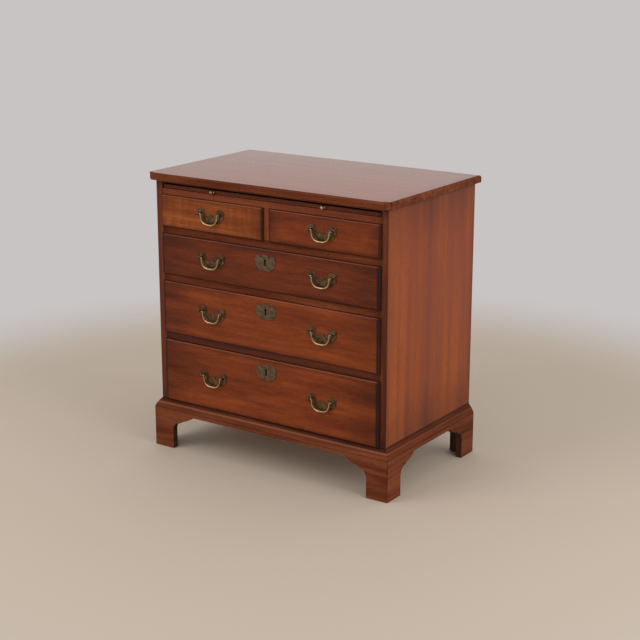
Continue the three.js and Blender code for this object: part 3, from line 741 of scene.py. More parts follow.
# The rail under the slide, the partition and the left front edge: a plainer cut, rubbed a little paler.
FRAME_WOOD = Timber("frame_mahogany", "mahogany", "#642a14", "#75351a", "#854121", "#33150b")
# The slide, the lowest and the hidden rails and the right front edge: darker; on the slide this is painted
# shade under the top's overhang.
DARK_WOOD = Timber("darker_mahogany", "mahogany", "#471c0d", "#5d2913", "#70371c", "#281009")
# The mouldings, the feet, the top's edge and two rails, rubbed by brooms and dusters: dull, and between
# the plainer cut and the dark one.
BASE_WOOD = Timber(
    "base_mahogany", "mahogany", "#562918", "#6c3721", "#81482e", "#33170e",
    roughness=0.4, specular=0.03, polish=0.0,
)
# The sides are paler and pinker than the fronts, with broad upright ribbons of orange.
SIDE_WOOD = Timber(
    "side_mahogany", "mahogany_side", "#7a3a27", "#8a4120", "#9b4f1e", "#5a2c18",
    figure=110 * MM, ribbon=30 * MM, contrast=1.15, specular=0.18,
)
# The top is rubbed thin and polished hard: at a low angle it mirrors the room.
TOP_WOOD = Timber(
    "top_mahogany", "mahogany_top", "#80442c", "#8e4b2f", "#995434", "#6c3a24",
    pore_share=0.05, contrast=0.7, roughness=0.26, specular=0.5, polish=0.6, polish_roughness=0.08,
    relief=0.002 * MM,
)
# Quartered oak, planed and left dry inside the drawers: matt, straight and yellow-brown.
OAK = Timber(
    "planed_oak", "oak", "#8a6a44", "#a8865a", "#bd9c6e", "#6b4c2c",
    figure=40 * MM, roughness=0.7, polish=0.0, relief=0.2 * MM,
)
# Sawn pine for the boards inside: matt, with wide yellow growth rings.
PINE = Timber(
    "planed_pine", "pine", "#9a7446", "#b8915e", "#c9a674", "#84592f",
    figure=30 * MM, ribbon=9 * MM, roughness=0.75, polish=0.0, relief=0.2 * MM,
)
# The back's pine has darkened in the open air to a dull brown.
AGED_PINE = Timber(
    "aged_pine", "pine", "#6e5438", "#826443", "#94754f", "#553d26",
    figure=70 * MM, ribbon=16 * MM, contrast=0.8, roughness=0.8, polish=0.0, relief=0.2 * MM,
)
# Sawn edges, backs and blocks behind the feet, and the rear brackets: nearly black, painted shade under and
# behind the chest.
SHADED_WOOD = Timber(
    "painted_shade_wood", "pine", "#2a1c12", "#3c2818", "#4e3621", "#1c120b", roughness=0.7, polish=0.0
)
# Bails are rubbed bright by hands; plates keep their brown, in patches as wide as a thumb.
BAIL_BRASS = CastBrass(
    "rubbed_brass", "brass", "#bfa676", "#7e6642", toned_from=0.46, toned_to=0.7, roughness=0.28
)
PLATE_BRASS = CastBrass("toned_brass", "brass", "#775c44", "#4e3b2a", patch=12 * MM)
# The keyhole plates have turned browner still.
SHIELD_BRASS = CastBrass("escutcheon_brass", "brass", "#7b6852", "#625140", patch=10 * MM)
# The slide's little knobs are never polished, and have gone as dark as the wood.
KNOB_BRASS = CastBrass("dark_brass", "brass", "#cbb088", "#6a5036", toned_from=0.44, toned_to=0.66)
# Painted shade, nearly black, inside the keyholes.
KEYHOLE_SHADE_BRASS = CastBrass("keyhole_painted_shade", "brass", "#1a120c", "#0d0906", roughness=0.7, toned_roughness=0.8)
# The locks' cases are left as cast and never rubbed, and have dulled all over.
LOCK_BRASS = CastBrass(
    "lock_brass", "lock_brass", "#8d7c4e", "#54462a", patch=12 * MM, roughness=0.42, toned_roughness=0.6
)


# Placing


@dataclass
class Workshop:
    """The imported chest, and how a finished piece is set in it."""

    nodes: dict[str, Piece]
    body_of_node: dict[str, str]
    pivots: dict[str, Vector]
    made: int = 0

    def set_in(self, piece: Piece, material: Material, node: str) -> None:
        """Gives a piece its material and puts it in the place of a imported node.

        Args:
            piece: The piece.
            material: Its material.
            node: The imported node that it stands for.
        """
        piece.data.materials.append(material)
        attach(piece, self.body_of_node[node])
        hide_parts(node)
        self.made += 1
        log.info("%s stands for %s", piece.name, node)

    def dress(self, node: str, timber: Timber, board: Board) -> None:
        """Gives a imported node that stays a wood's material.

        Args:
            node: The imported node.
            timber: The wood.
            board: How the board was cut.
        """
        piece = self.nodes[node]
        piece.data.materials.clear()
        piece.data.materials.append(timber.material(board))
        log.info("%s is dressed as %s", node, timber.name)

    def ease(self, node: str, timber: Timber, board: Board, edge: float) -> Piece:
        """Replaces a packed board with a copy whose edges are eased.

        Args:
            node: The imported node.
            timber: The wood.
            board: How the board was cut.
            edge: Width of the eased edges.

        Returns:
            The copy.
        """
        piece = refined(self.nodes[node], f"{node}_eased", edge)
        self.set_in(piece, timber.material(board), node)
        return piece

    def face_with(self, piece: Piece, material: Material, low: Vector, high: Vector) -> None:
        """Gives a second material to the faces whose middles lie inside a box.

        Args:
            piece: The piece, which has one material so far.
            material: The second material.
            low: The box's lowest corner.
            high: The box's highest corner.
        """
        faces = piece.data.polygons
        middles = np.empty(len(faces) * 3)
        faces.foreach_get("center", middles)
        middles = middles.reshape(-1, 3)
        chosen = np.all((middles > np.array(low)) & (middles < np.array(high)), axis=1)
        piece.data.materials.append(material)
        faces.foreach_set("material_index", chosen.astype(np.int32))


@dataclass
class TopBoard:
    """The top: an ovolo above, a small round below, and a re-entrant ovolo at each front corner."""

    arris_width: float = 6.5 * MM
    arris_drop: float = 7.5 * MM
    under_radius: float = 3 * MM
    corner_step: float = 5 * MM
    corner_radius: float = 12.5 * MM
    steps: int = 14
    under_steps: int = 8
    polished_depth: float = 0.05 * MM

    def outline(self, inset: float, low: Vector, high: Vector) -> Points:
        """The plan at an inset: straight sides, and quarter rounds of radius less the inset at the corners.

        Args:
            inset: How far the edge is drawn in.
            low: Lowest corner of the board.
            high: Highest corner of the board.

        Returns:
            Points as (x, y).
        """
        cx = high.x - self.corner_step - self.corner_radius
        cy = low.y + self.corner_step + self.corner_radius
        r, x = self.corner_radius - inset, high.x - inset
        right = np.concatenate(
            [
                [[cx - inset, low.y + inset], [cx - inset, cy - r]],
                arc((cx, cy), (r, r), -90, 0, self.steps),
                [[cx + r, cy - inset], [x, cy - inset]],
            ]
        )
        back = [[x, high.y - inset], [-x, high.y - inset]]
        return np.concatenate([right, back, right[::-1] * [-1, 1]])

    def build(self, shop: Workshop) -> None:
        """Carries the edge's profile round the plan and closes both faces.

        Args:
            shop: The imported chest.
        """
        low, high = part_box("top_board")
        round_under, ovolo = (self.under_radius,) * 2, (self.arris_width, self.arris_drop)
        under = arc(round_under, round_under, 270, 180, self.under_steps)
        over = arc((self.arris_width, -self.arris_drop), ovolo, 180, 90, self.steps)
        profile = np.concatenate([under + [0, low.z], over + [0, high.z]])
        rings = [points_at(*self.outline(inset, low, high).T, z) for inset, z in profile]
        piece = Shell().closed(rings).build("top_board_moulded")
        plank = (Grain.ACROSS, (0.3, 0.1, 0.05), 0.6)
        shade = EdgeShade.on("top_board", reach=(0.05, 0.0, 0.0), depth=0.25)
        board = Board("top", *plank, shade)
        shop.set_in(piece, TOP_WOOD.material(board), "top_board")
        below_polish = Vector((high.x + MM, high.y + MM, high.z - self.polished_depth))
        shop.face_with(piece, BASE_WOOD.material(Board("top_edge", *plank)), low - PAST, below_polish)


@dataclass
class BaseMoulding:
    """A flattened ovolo over a thin band with a quirk under it, mitred at the front corners."""

    lip: float = 1.2 * MM
    band: float = 0.5 * MM
    quirk_depth: float = 0.8 * MM
    quirk_height: float = 1 * MM
    # The painted highlight along the ovolo: its height above the moulding's bottom, and its reach up and
    # down.
    nose: float = 16 * MM
    nose_width: float = 3.6 * MM
    flatness: Vec2 = (0.28, 0.5)
    # Painted shade at the moulding's top, in the corner with the case: how far it reaches down, and how far
    # below the moulding its other end lies, so that the bottom stays light.
    corner_shade_reach: float = 17 * MM
    corner_shade_below: float = 30 * MM
    steps: int = 14

    def profile(self, projection: float, bottom: float, top: float) -> Points:
        """Points (out, z) from the case's face round the moulding and back to it.

        The ovolo is a quadratic curve from the band to the lip. Its control point lies at the
        flatness shares of the way in and down from the moulding's front upper corner.

        Args:
            projection: How far the band stands out from the case.
            bottom: The moulding's lowest height.
            top: Its highest height.

        Returns:
            The profile.
        """
        quirk = bottom - FIT_GAP + self.quirk_height
        spring = quirk + self.band
        inwards, down = self.flatness
        control = [projection - (projection - self.lip) * inwards, top - (top - spring) * down]
        ovolo = bend(np.array([projection, spring]), np.array(control), np.array([self.lip, top]), self.steps)
        foot = [
            [FIT_GAP, bottom],
            [projection - self.quirk_depth, bottom],
            [projection - self.quirk_depth, quirk],
            [projection, quirk],
            [projection, spring],
        ]
        return np.concatenate([foot, ovolo, [[FIT_GAP, top]]])

    def build(self, shop: Workshop) -> None:
        """Carries the profile along the front and both sides.

        Args:
            shop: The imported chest.
        """
        case_front, case_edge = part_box("side_left")[0].y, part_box("side_right")[1].x
        low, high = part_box("base_moulding_front")
        out, z = self.profile(case_front - low.y, low.z, high.z).T
        ends = [points_at(s * (case_edge + out - FIT_GAP), case_front - out, z) for _, s in SIDES]
        # For each run: its side, slot, end rings, grain, place in the timber, depth of its toning and painted
        # shade, lightness, and depth of its painted highlight.
        runs = [("front", "mahogany", ends, Grain.ACROSS, (0.9, 0.3, 0.1), 0.75, -0.05, 0.6)]
        for side, s in SIDES:
            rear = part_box(f"base_moulding_{side}")[1].y
            ends = [points_at(s * (case_edge + out), y, z) for y in (case_front - out, rear)]
            runs.append((side, "mahogany_side", ends, Grain.DEEP, (0.2 * s, 0.7, 0.3), 0.45, -0.06, 0.35))
        for side, slot, ends, grain, place, depth, light, highlight_depth in runs:
            node = f"base_moulding_{side}"
            piece = Shell().closed(ends).build(f"{node}_run")
            reach = (0, 0, self.corner_shade_reach)
            shade = EdgeShade.on(node, reach, depth, bottom=low.z - self.corner_shade_below)
            rub = PaintedHighlight(low.z + self.nose, self.nose_width, highlight_depth)
            board = Board(f"base_{side}", grain, place, 0.3, shade, light=light, rub=rub)
            shop.set_in(piece, BASE_WOOD.material(board), node)


@dataclass
class BracketFeet:
    """Boards under the base moulding, each with a plain foot and a shaped spandrel at both ends."""

    thickness: float = 19 * MM
    skirt: float = 10.5 * MM
    foot_width: float = 69 * MM
    run: float = 69.5 * MM
    cusp_run: float = 31.5 * MM
    cusp_drop: float = 19 * MM
    step_run: float = 23 * MM
    step_drop: float = 27 * MM
    curve_drop: float = 51 * MM
    block: float = 24 * MM
    block_drop: float = 6 * MM
    edge: float = 0.7 * MM
    rear_edge: float = 0.8 * MM
    steps: int = 14

    def foot_profile(self, height: float) -> Points:
        """The line (s, z) from the foot's inner corner up its ovolo, past the cusp and out to the skirt.

        Args:
            height: The board's height.

        Returns:
            The line.
        """
        skirt = height - self.skirt
        cusp = np.array([self.foot_width + self.cusp_run, skirt - self.cusp_drop])
        spring = skirt - self.curve_drop
        rise = skirt - self.step_drop - spring
        round_part = arc((self.foot_width + self.step_run, spring), (-self.step_run, rise), 0, 90, self.steps)
        shoulder = np.array([self.foot_width + self.run, skirt])
        control = np.array([self.foot_width + (self.run * 2 + self.cusp_run) / 3, cusp[1] + self.skirt / 6])
        sweep = np.concatenate([shoulder[None], bend(shoulder, control, cusp, self.steps)])
        return np.concatenate([[[self.foot_width, 0.0]], round_part, sweep[::-1]])

    def outline(self, length: float, height: float) -> Points:
        """The board's whole outline (s, z), the same at both ends.

        Args:
            length: The board's length.
            height: The board's height.

        Returns:
            The outline, from the floor at its first end.
        """
        foot = self.foot_profile(height)
        far = foot[::-1] * [-1, 1] + [length, 0]
        return np.concatenate([[[0.0, 0.0]], foot, far, [[length, 0.0], [length, height], [0.0, height]]])

    def drawn_in(self, outer: Points, length: float, far_mitre: bool) -> Points:
        """Where the inner face's points lie along a board with a mitre on its first end.

        Args:
            outer: Where the outer face's points lie.
            length: The board's length.
            far_mitre: The far end is mitred too.

        Returns:
            The places along the board.
        """
        inner = outer.copy()
        inner[outer == 0] = self.thickness
        inner[outer == length] = length - (self.thickness if far_mitre else 0.0)
        return inner

    def build(self, shop: Workshop) -> None:
        """Builds the front board and both sides' boards, and dresses the rear ones.

        Args:
            shop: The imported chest.
        """
        low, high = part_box("bracket_front")
        length = high.x - low.x
        outer, z = self.outline(length, high.z).T
        inner = self.drawn_in(outer, length, far_mitre=True)
        faces = [points_at(low.x + outer, low.y, z), points_at(low.x + inner, low.y + self.thickness, z)]
        piece = Shell().closed(faces).build("bracket_front_shaped")
        ease_edges(piece, self.edge)
        # Darker towards the ends and towards the floor, toning and painted shade, with a narrow dark line at
        # each mitre.
        shade = EdgeShade.on(
            "bracket_front", reach=(0.07, 0.0, 0.05), depth=0.15, rim=(2 * MM, 0.0, 0.0), rim_depth=0.5
        )
        board = Board("bracket_front", Grain.ACROSS, (0.4, 0.2, 0.6), 0.4, shade, light=0.04)
        shop.set_in(piece, BASE_WOOD.material(board), "bracket_front")
        # The sawn edges and the back, under and behind the face, are nearly black with painted shade.
        sawn = SHADED_WOOD.material(Board("front_sawn_edges", Grain.ACROSS, (0.1, 0.2, 0)))
        shop.face_with(piece, sawn, Vector((low.x, low.y + MM, -MM)), high + Vector((0, MM, MM)))
        for side, s in SIDES:
            self.side_board(shop, side, s)

    def side_board(self, shop: Workshop, side: str, s: int) -> None:
        """Builds one side's board with its two glue blocks, and dresses the rear bracket beside it.

        Args:
            shop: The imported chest.
            side: The side's name.
            s: Its sign along X.
        """
        node = f"bracket_{side}"
        low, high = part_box(node)
        face = high.x if s > 0 else low.x
        length = high.y - low.y
        outer, z = self.outline(length, high.z).T
        inner = self.drawn_in(outer, length, far_mitre=False)
        faces = [
            points_at(face, low.y + outer, z),
            points_at(face - s * self.thickness, low.y + inner, z),
        ]
        shell = Shell().closed(faces)
        near, far = face - s * (self.thickness - FIT_GAP), face - s * (self.thickness + self.block)
        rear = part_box(f"rear_bracket_{side}")[0].y
        for front in (low.y + self.thickness, rear - FIT_GAP - self.block):
            back = front + self.block
            corners = [near, far, far, near], [front, front, back, back]
            shell.closed([points_at(*corners, height) for height in (self.block_drop, high.z)])
        piece = shell.build(f"bracket_{side}_shaped")
        ease_edges(piece, self.edge)
        # Darker towards the rear.
        shade = EdgeShade.on(node, reach=(0.0, 0.1, 0.0), depth=0.32, move=(0, -0.11, 0))
        board = Board(f"bracket_{side}", Grain.DEEP, (0.1 * s, 0.5, 0.2), 0.4, shade, light=0.05)
        shop.set_in(piece, BASE_WOOD.material(board), node)
        # The inner faces and the glue blocks are nearly black with painted shade.
        sawn = SHADED_WOOD.material(Board(f"{side}_sawn_edges", Grain.UPRIGHT, (0.3 * s, 0.2, 0)))
        reach = abs(face) - MM
        behind = (Vector((-reach, low.y - MM, -MM)), Vector((reach, high.y + MM, high.z + MM)))
        shop.face_with(piece, sawn, *behind)
        # The rear bracket, behind the chest, is nearly black with painted shade.
        board = Board(f"rear_{side}", Grain.ACROSS, (s, 0, 0))
        shop.ease(f"rear_bracket_{side}", SHADED_WOOD, board, self.rear_edge)


@dataclass
class CaseBoards:
    """The sides, rails, partition, the boards behind them and the back."""

    edge: float = 0.6 * MM
    side_edge: float = 0.8 * MM
    back_edge: float = 0.5 * MM
    stile_depth: float = 0.1 * MM

    def build(self, shop: Workshop) -> None:
        """Eases the boards that show and dresses those inside.

        Args:
            shop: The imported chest.
        """
        moulding_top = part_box("base_moulding_front")[1].z
        for side, s in SIDES:
            node = f"side_{side}"
            low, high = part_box(node)
            # Darker towards the edges, with painted shade under the top's overhang, and narrow lines of
            # painted shade under the top and above the moulding.
            shade = EdgeShade.on(
                node, reach=(0, 0.025, 0.16), depth=0.35, rim=(0, 0, 7 * MM), bottom=moulding_top
            )
            board = Board(node, Grain.UPRIGHT, (0.23 * s, 0.4, 0.1), 0.5 * s, shade)
            piece = shop.ease(node, SIDE_WOOD, board, self.side_edge)
            # The front edge: darker at the top and bottom, with narrow lines of painted shade at its corners
            # and ends.
            shade = EdgeShade.on(
                node, reach=(0, 0, 0.05), depth=0.3, rim=(0.8 * MM, 0, 4 * MM), bottom=moulding_top
            )
            board = Board(f"stile_{side}", Grain.UPRIGHT, (0.6 * s, 0.1, 0.4), 0.0, shade, light=-0.04)
            stile = (DARK_WOOD if s > 0 else FRAME_WOOD).material(board)
            front = Vector((high.x + MM, low.y + self.stile_depth, high.z + MM))
            shop.face_with(piece, stile, low - PAST, front)
        rails = {
            "slide_rail": (FRAME_WOOD, 0.0),
            "rail_1": (BASE_WOOD, -0.05),
            "rail_2": (BASE_WOOD, -0.05),
            "rail_3": (DARK_WOOD, -0.12),
            "bottom_rail": (DARK_WOOD, 0.0),
            "top_rail": (DARK_WOOD, 0.0),
        }
        for k, (node, (wood, light)) in enumerate(rails.items()):
            shade = EdgeShade.on(node, reach=(0.05, 0, 0), depth=0.4)
            board = Board(node, Grain.ACROSS, (0.31 * k, 0.2 * k, 0.0), 0.0, shade, light=light)
            shop.ease(node, wood, board, self.edge)
        board = Board("divider", Grain.UPRIGHT, (0.5, 0.5, 0.5), light=0.1)
        shop.ease("divider", FRAME_WOOD, board, self.edge)
        inside = ("slide_bed", "dust_board_1", "dust_board_2", "dust_board_3", "bottom_board")
        for k, node in enumerate(inside):
            shop.dress(node, PINE, Board(node, Grain.ACROSS, (0.2 * k, 0.6, 0.3 * k)))
        board = Board("back", Grain.UPRIGHT, (0.7, 0.1, 0.2))
        shop.ease("back_panel", AGED_PINE, board, self.back_edge)


@dataclass
class BrushingSlide:
    """The pull-out slide under the top, with two small turned knobs."""

    knob_radius: float = 6 * MM
    neck_radius: float = 2.8 * MM
    knob_length: float = 14 * MM
    seat_gap: float = 0.1 * MM
    edge: float = 0.3 * MM
    head_steps: int = 14
    sides: int = 28

    def knob(self, shop: Workshop, side: str) -> None:
        """Turns one knob: its profile goes round an axis along -Y.

        Args:
            shop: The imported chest.
            side: The knob's side.
        """
        node = f"slide_knob_{side}"
        low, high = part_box(node)
        radius, length = self.knob_radius, self.knob_length
        head = arc((0.0, length * 0.68), (radius, length * 0.32), -62, 90, self.head_steps)
        neck = [
            [0.0, self.seat_gap],
            [radius * 0.75, self.seat_gap],
            [radius * 0.78, length * 0.07],
            [radius * 0.66, length * 0.14],
            [self.neck_radius, length * 0.2],
            [self.neck_radius * 0.95, length * 0.3],
        ]
        seat = ((low.x + high.x) / 2, low.y + length, (low.z + high.z) / 2)
        shell = Shell().tube(turned(np.concatenate([neck, head]), seat, self.sides))
        piece = shell.build(f"slide_knob_{side}_turned")
        shop.set_in(piece, KNOB_BRASS.material(), node)

    def build(self, shop: Workshop) -> None:
        """Eases the slide's board and turns its knobs.

        Args:
            shop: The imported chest.
        """
        # The slide's darker wood is painted shade under the top's overhang.
        board = Board("slide", Grain.ACROSS, (0.1, 0.9, 0.3), 0.2)
        shop.ease("brushing_slide", DARK_WOOD, board, self.edge)
        for side, _ in SIDES:
            self.knob(shop, side)


# Rows of (end, control) of the curves down the right half of a plate, as shares of half its width and
# of its height.
PLATE_OUTLINE_SHARES = (
    ((0, 0.69), None),
    ((0.13, 0.62), (0.1, 0.69)),
    ((0.2, 0.5), (0.14, 0.53)),
    ((0.34, 0.53), (0.28, 0.47)),
    ((0.43, 0.72), (0.42, 0.58)),
    ((0.5, 0.93), (0.42, 0.86)),
    ((0.74, 1), (0.58, 1.01)),
    ((0.95, 0.94), (0.88, 1)),
    ((1, 0.79), (1.01, 0.87)),
    ((0.95, 0.68), (0.99, 0.72)),
    ((0.97, 0.55), (1, 0.62)),
    ((0.88, 0.4), (0.96, 0.45)),
    ((0.72, 0.26), (0.82, 0.32)),
    ((0.55, 0.13), (0.66, 0.15)),
    ((0.4, 0.11), (0.47, 0.17)),
    ((0.16, 0.03), (0.3, 0)),
    ((0, 0.07), (0.08, 0.07)),
)
SHIELD_OUTLINE_SHARES = (
    ((0, 1), None),
    ((0.2, 0.97), (0.1, 1)),
    ((0.33, 0.88), (0.3, 0.95)),
    ((0.42, 0.78), (0.36, 0.8)),
    ((0.54, 0.88), (0.47, 0.8)),
    ((0.72, 0.92), (0.6, 0.94)),
    ((0.9, 0.84), (0.84, 0.92)),
    ((1, 0.64), (0.98, 0.77)),
    ((0.96, 0.42), (1, 0.52)),
    ((0.84, 0.24), (0.93, 0.31)),
    ((0.62, 0.1), (0.74, 0.14)),
    ((0.34, 0.02), (0.5, 0.03)),
    ((0, 0), (0.18, 0)),
)


@dataclass
class BailHandle:
    """A swan-neck bail that hangs in two posts on a shaped backplate."""

    plate_width: float = 96 * MM
    plate_height: float = 46 * MM
    plate_thickness: float = 1.8 * MM
    plate_bevel: float = 0.9 * MM
    post_spacing: float = 76 * MM
    post_lift: float = 9.5 * MM
    post_standoff: float = 10 * MM
    head_radius: float = 4.6 * MM
    stem_radius: float = 2.9 * MM
    foot_radius: float = 5.4 * MM
    shank_radius: float = 2.1 * MM
    shank_length: float = 24 * MM
    nut_radius: float = 5 * MM
    pin_radius: float = 1.6 * MM
    leg_radius: float = 2 * MM
    grip_radius: float = 2.7 * MM
    drop: float = 31 * MM
    leg_inset: float = 9 * MM
    elbow: float = 4 * MM
    fullness: float = 0.72
    head_steps: int = 16
    elbow_steps: int = 10
    plate_steps: int = 7
    post_sides: int = 24
    bail_steps: int = 22
    bail_sides: int = 18

    def post_profile(self) -> Points:
        """Rows of (radius, out) from the nut inside the drawer to the top of the head.

        Returns:
            The profile.
        """
        face, end = self.plate_thickness, -self.shank_length
        turnings = [
            [0.0, end - 3.2 * MM],
            [self.nut_radius * 0.94, end - 3.2 * MM],
            [self.nut_radius, end - 2.9 * MM],
            [self.nut_radius, end + 0.4 * MM],
            [self.shank_radius, end + 0.4 * MM],
            [self.shank_radius, 0.2 * MM],
            [self.foot_radius, 0.2 * MM],
            [self.foot_radius, face + 0.5 * MM],
            [self.foot_radius * 0.94, face + 0.9 * MM],
            [self.foot_radius * 0.8, face + 1.1 * MM],
            [self.foot_radius * 0.62, face + 1.6 * MM],
            [self.stem_radius, face + 2.4 * MM],
            [self.stem_radius * 0.96, self.post_standoff - self.head_radius * 1.05],
        ]
        head = arc((0.0, self.post_standoff), (self.head_radius,) * 2, -52, 90, self.head_steps)
        return np.concatenate([turnings, head])

    def bail_path(self) -> tuple[Points, Points]:
        """The bail's centre line (x, z) and radius: pins, elbows, legs, then a swelled grip.

        The legs and grip follow x = leg cos(a)^fullness, z = spring - (drop + spring) sin(a).

        Returns:
            The centre line and the radius at each of its points.
        """
        pin, leg, spring = self.post_spacing / 2, self.post_spacing / 2 - self.leg_inset, -self.elbow * 1.6
        corner = arc((leg + self.elbow, -self.elbow), (self.elbow,) * 2, 90, 180, self.elbow_steps)
        angle = np.linspace(0, np.pi / 2, self.bail_steps + 1)
        x = leg * np.maximum(np.cos(angle), 0.0) ** self.fullness
        z = spring - (self.drop + spring) * np.sin(angle)
        half = np.concatenate([[[pin + self.pin_radius, 0.0]], corner, np.stack([x, z], -1)])
        thin = np.linspace(self.pin_radius, self.leg_radius, len(corner))
        swell = self.leg_radius + (self.grip_radius - self.leg_radius) * np.sin(angle) ** 2
        radius = np.concatenate([[self.pin_radius], thin, swell])
        path = np.concatenate([half, half[-2::-1] * [-1, 1]])
        return path, np.concatenate([radius, radius[-2::-1]])

    def bail(self, pivot: Vector) -> Points:
        """Rings round the path: centre + r (cos a N + sin a Y), where N is across the path in its plane.

        Args:
            pivot: The middle of the bail's axis.

        Returns:
            The rings.
        """
        path, radius = self.bail_path()
        along = unit(np.gradient(path, axis=0))
        angle = np.linspace(0, 2 * np.pi, self.bail_sides, endpoint=False)
        reach = radius[:, None] * np.cos(angle)
        x = pivot.x + path[:, :1] - along[:, 1:] * reach
        z = pivot.z + path[:, 1:] + along[:, :1] * reach
        return points_at(x, pivot.y + radius[:, None] * np.sin(angle), z)

    def build(self, shop: Workshop, drawer: str, label: str) -> None:
        """Builds one handle: the plate with its posts, and the bail.

        Args:
            shop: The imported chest.
            drawer: The drawer's name.
            label: The handle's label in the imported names.
        """
        pivot = shop.pivots[f"bail_{label}_lift"]
        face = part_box(f"drawer_{drawer}_front")[0].y
        seat = (pivot.x, face - FIT_GAP, pivot.z - self.post_lift)
        outline = mirrored_outline(
            PLATE_OUTLINE_SHARES, self.plate_width, self.plate_height, self.plate_steps
        )
        shell = Shell().closed(filed_edge(outline, seat, self.plate_thickness, self.plate_bevel))
        for _, s in SIDES:
            post = (seat[0] + s * self.post_spacing / 2, face, seat[2] + self.post_lift)
            shell.tube(turned(self.post_profile(), post, self.post_sides))
        piece = shell.build(f"handle_fitting_{label}")
        shop.set_in(piece, PLATE_BRASS.material(), f"handle_plate_{label}")
        piece = Shell().closed(self.bail(pivot)).build(f"bail_{label}_cast")
        shop.set_in(piece, BAIL_BRASS.material(), f"bail_{label}")


@dataclass
class Escutcheon:
    """A shield-shaped plate with a keyhole."""

    width: float = 70 * MM
    height: float = 47 * MM
    thickness: float = 1.6 * MM
    bevel: float = 0.8 * MM
    head_radius: float = 3.3 * MM
    foot_radius: float = 2.4 * MM
    key_length: float = 18 * MM
    mouth_depth: float = 0.3 * MM
    mouth_share: float = 1.06
    keyhole_shade_margin: float = 0.5 * MM
    keyhole_shade_reach: float = 10 * MM
    head_steps: int = 11
    foot_steps: int = 7
    steps: int = 8

    def keyhole(self) -> Points:
        """The right half of the keyhole's outline (x, z): a round head over a narrower foot.

        Returns:
            The outline, from its top.
        """
        top = self.key_length / 2 - self.head_radius
        bottom = -self.key_length / 2 + self.foot_radius
        head = arc((0.0, top), (self.head_radius,) * 2, 90, -40, self.head_steps)
        foot = arc((0.0, bottom), (self.foot_radius,) * 2, 0, -90, self.foot_steps)
        return np.concatenate([head, foot])

    def build(self, shop: Workshop, name: str) -> None:
        """Builds one escutcheon: filed edges outside and in the keyhole, and flat halves between them.

        Args:
            shop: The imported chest.
            name: The drawer's name.
        """
        node = f"escutcheon_{name}"
        low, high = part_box(node)
        seat = (0.0, high.y, (low.z + high.z) / 2)
        outline = mirrored_outline(SHIELD_OUTLINE_SHARES, self.width, self.height, self.steps)
        edge = inset_outline(outline, self.bevel)
        hole = self.keyhole()
        mouth = hole * self.mouth_share
        shell = Shell().tube(filed_edge(outline, seat, self.thickness, self.bevel))
        inside = ((hole, 0.0), (hole, self.thickness - self.mouth_depth), (mouth, self.thickness))
        shell.tube(np.stack([on_face(both_sides(ring), seat, out) for ring, out in inside]))
        half = len(outline) // 2 + 1
        for side in ([1, 1], [-1, 1]):
            for rim, opening, out in ((outline, hole, 0.0), (edge, mouth, self.thickness)):
                shell.cap(on_face(np.concatenate([rim[:half], opening[::-1]]) * side, seat, out))
        piece = shell.build(f"{node}_filed")
        shop.set_in(piece, SHIELD_BRASS.material(), node)
        # The keyhole's walls and mouth are nearly black with painted shade.
        wide, tall = self.head_radius + self.keyhole_shade_margin, self.key_length / 2 + self.keyhole_shade_margin
        reach = Vector((wide, self.keyhole_shade_reach, tall))
        shop.face_with(piece, KEYHOLE_SHADE_BRASS.material(), Vector(seat) - reach, Vector(seat) + reach)


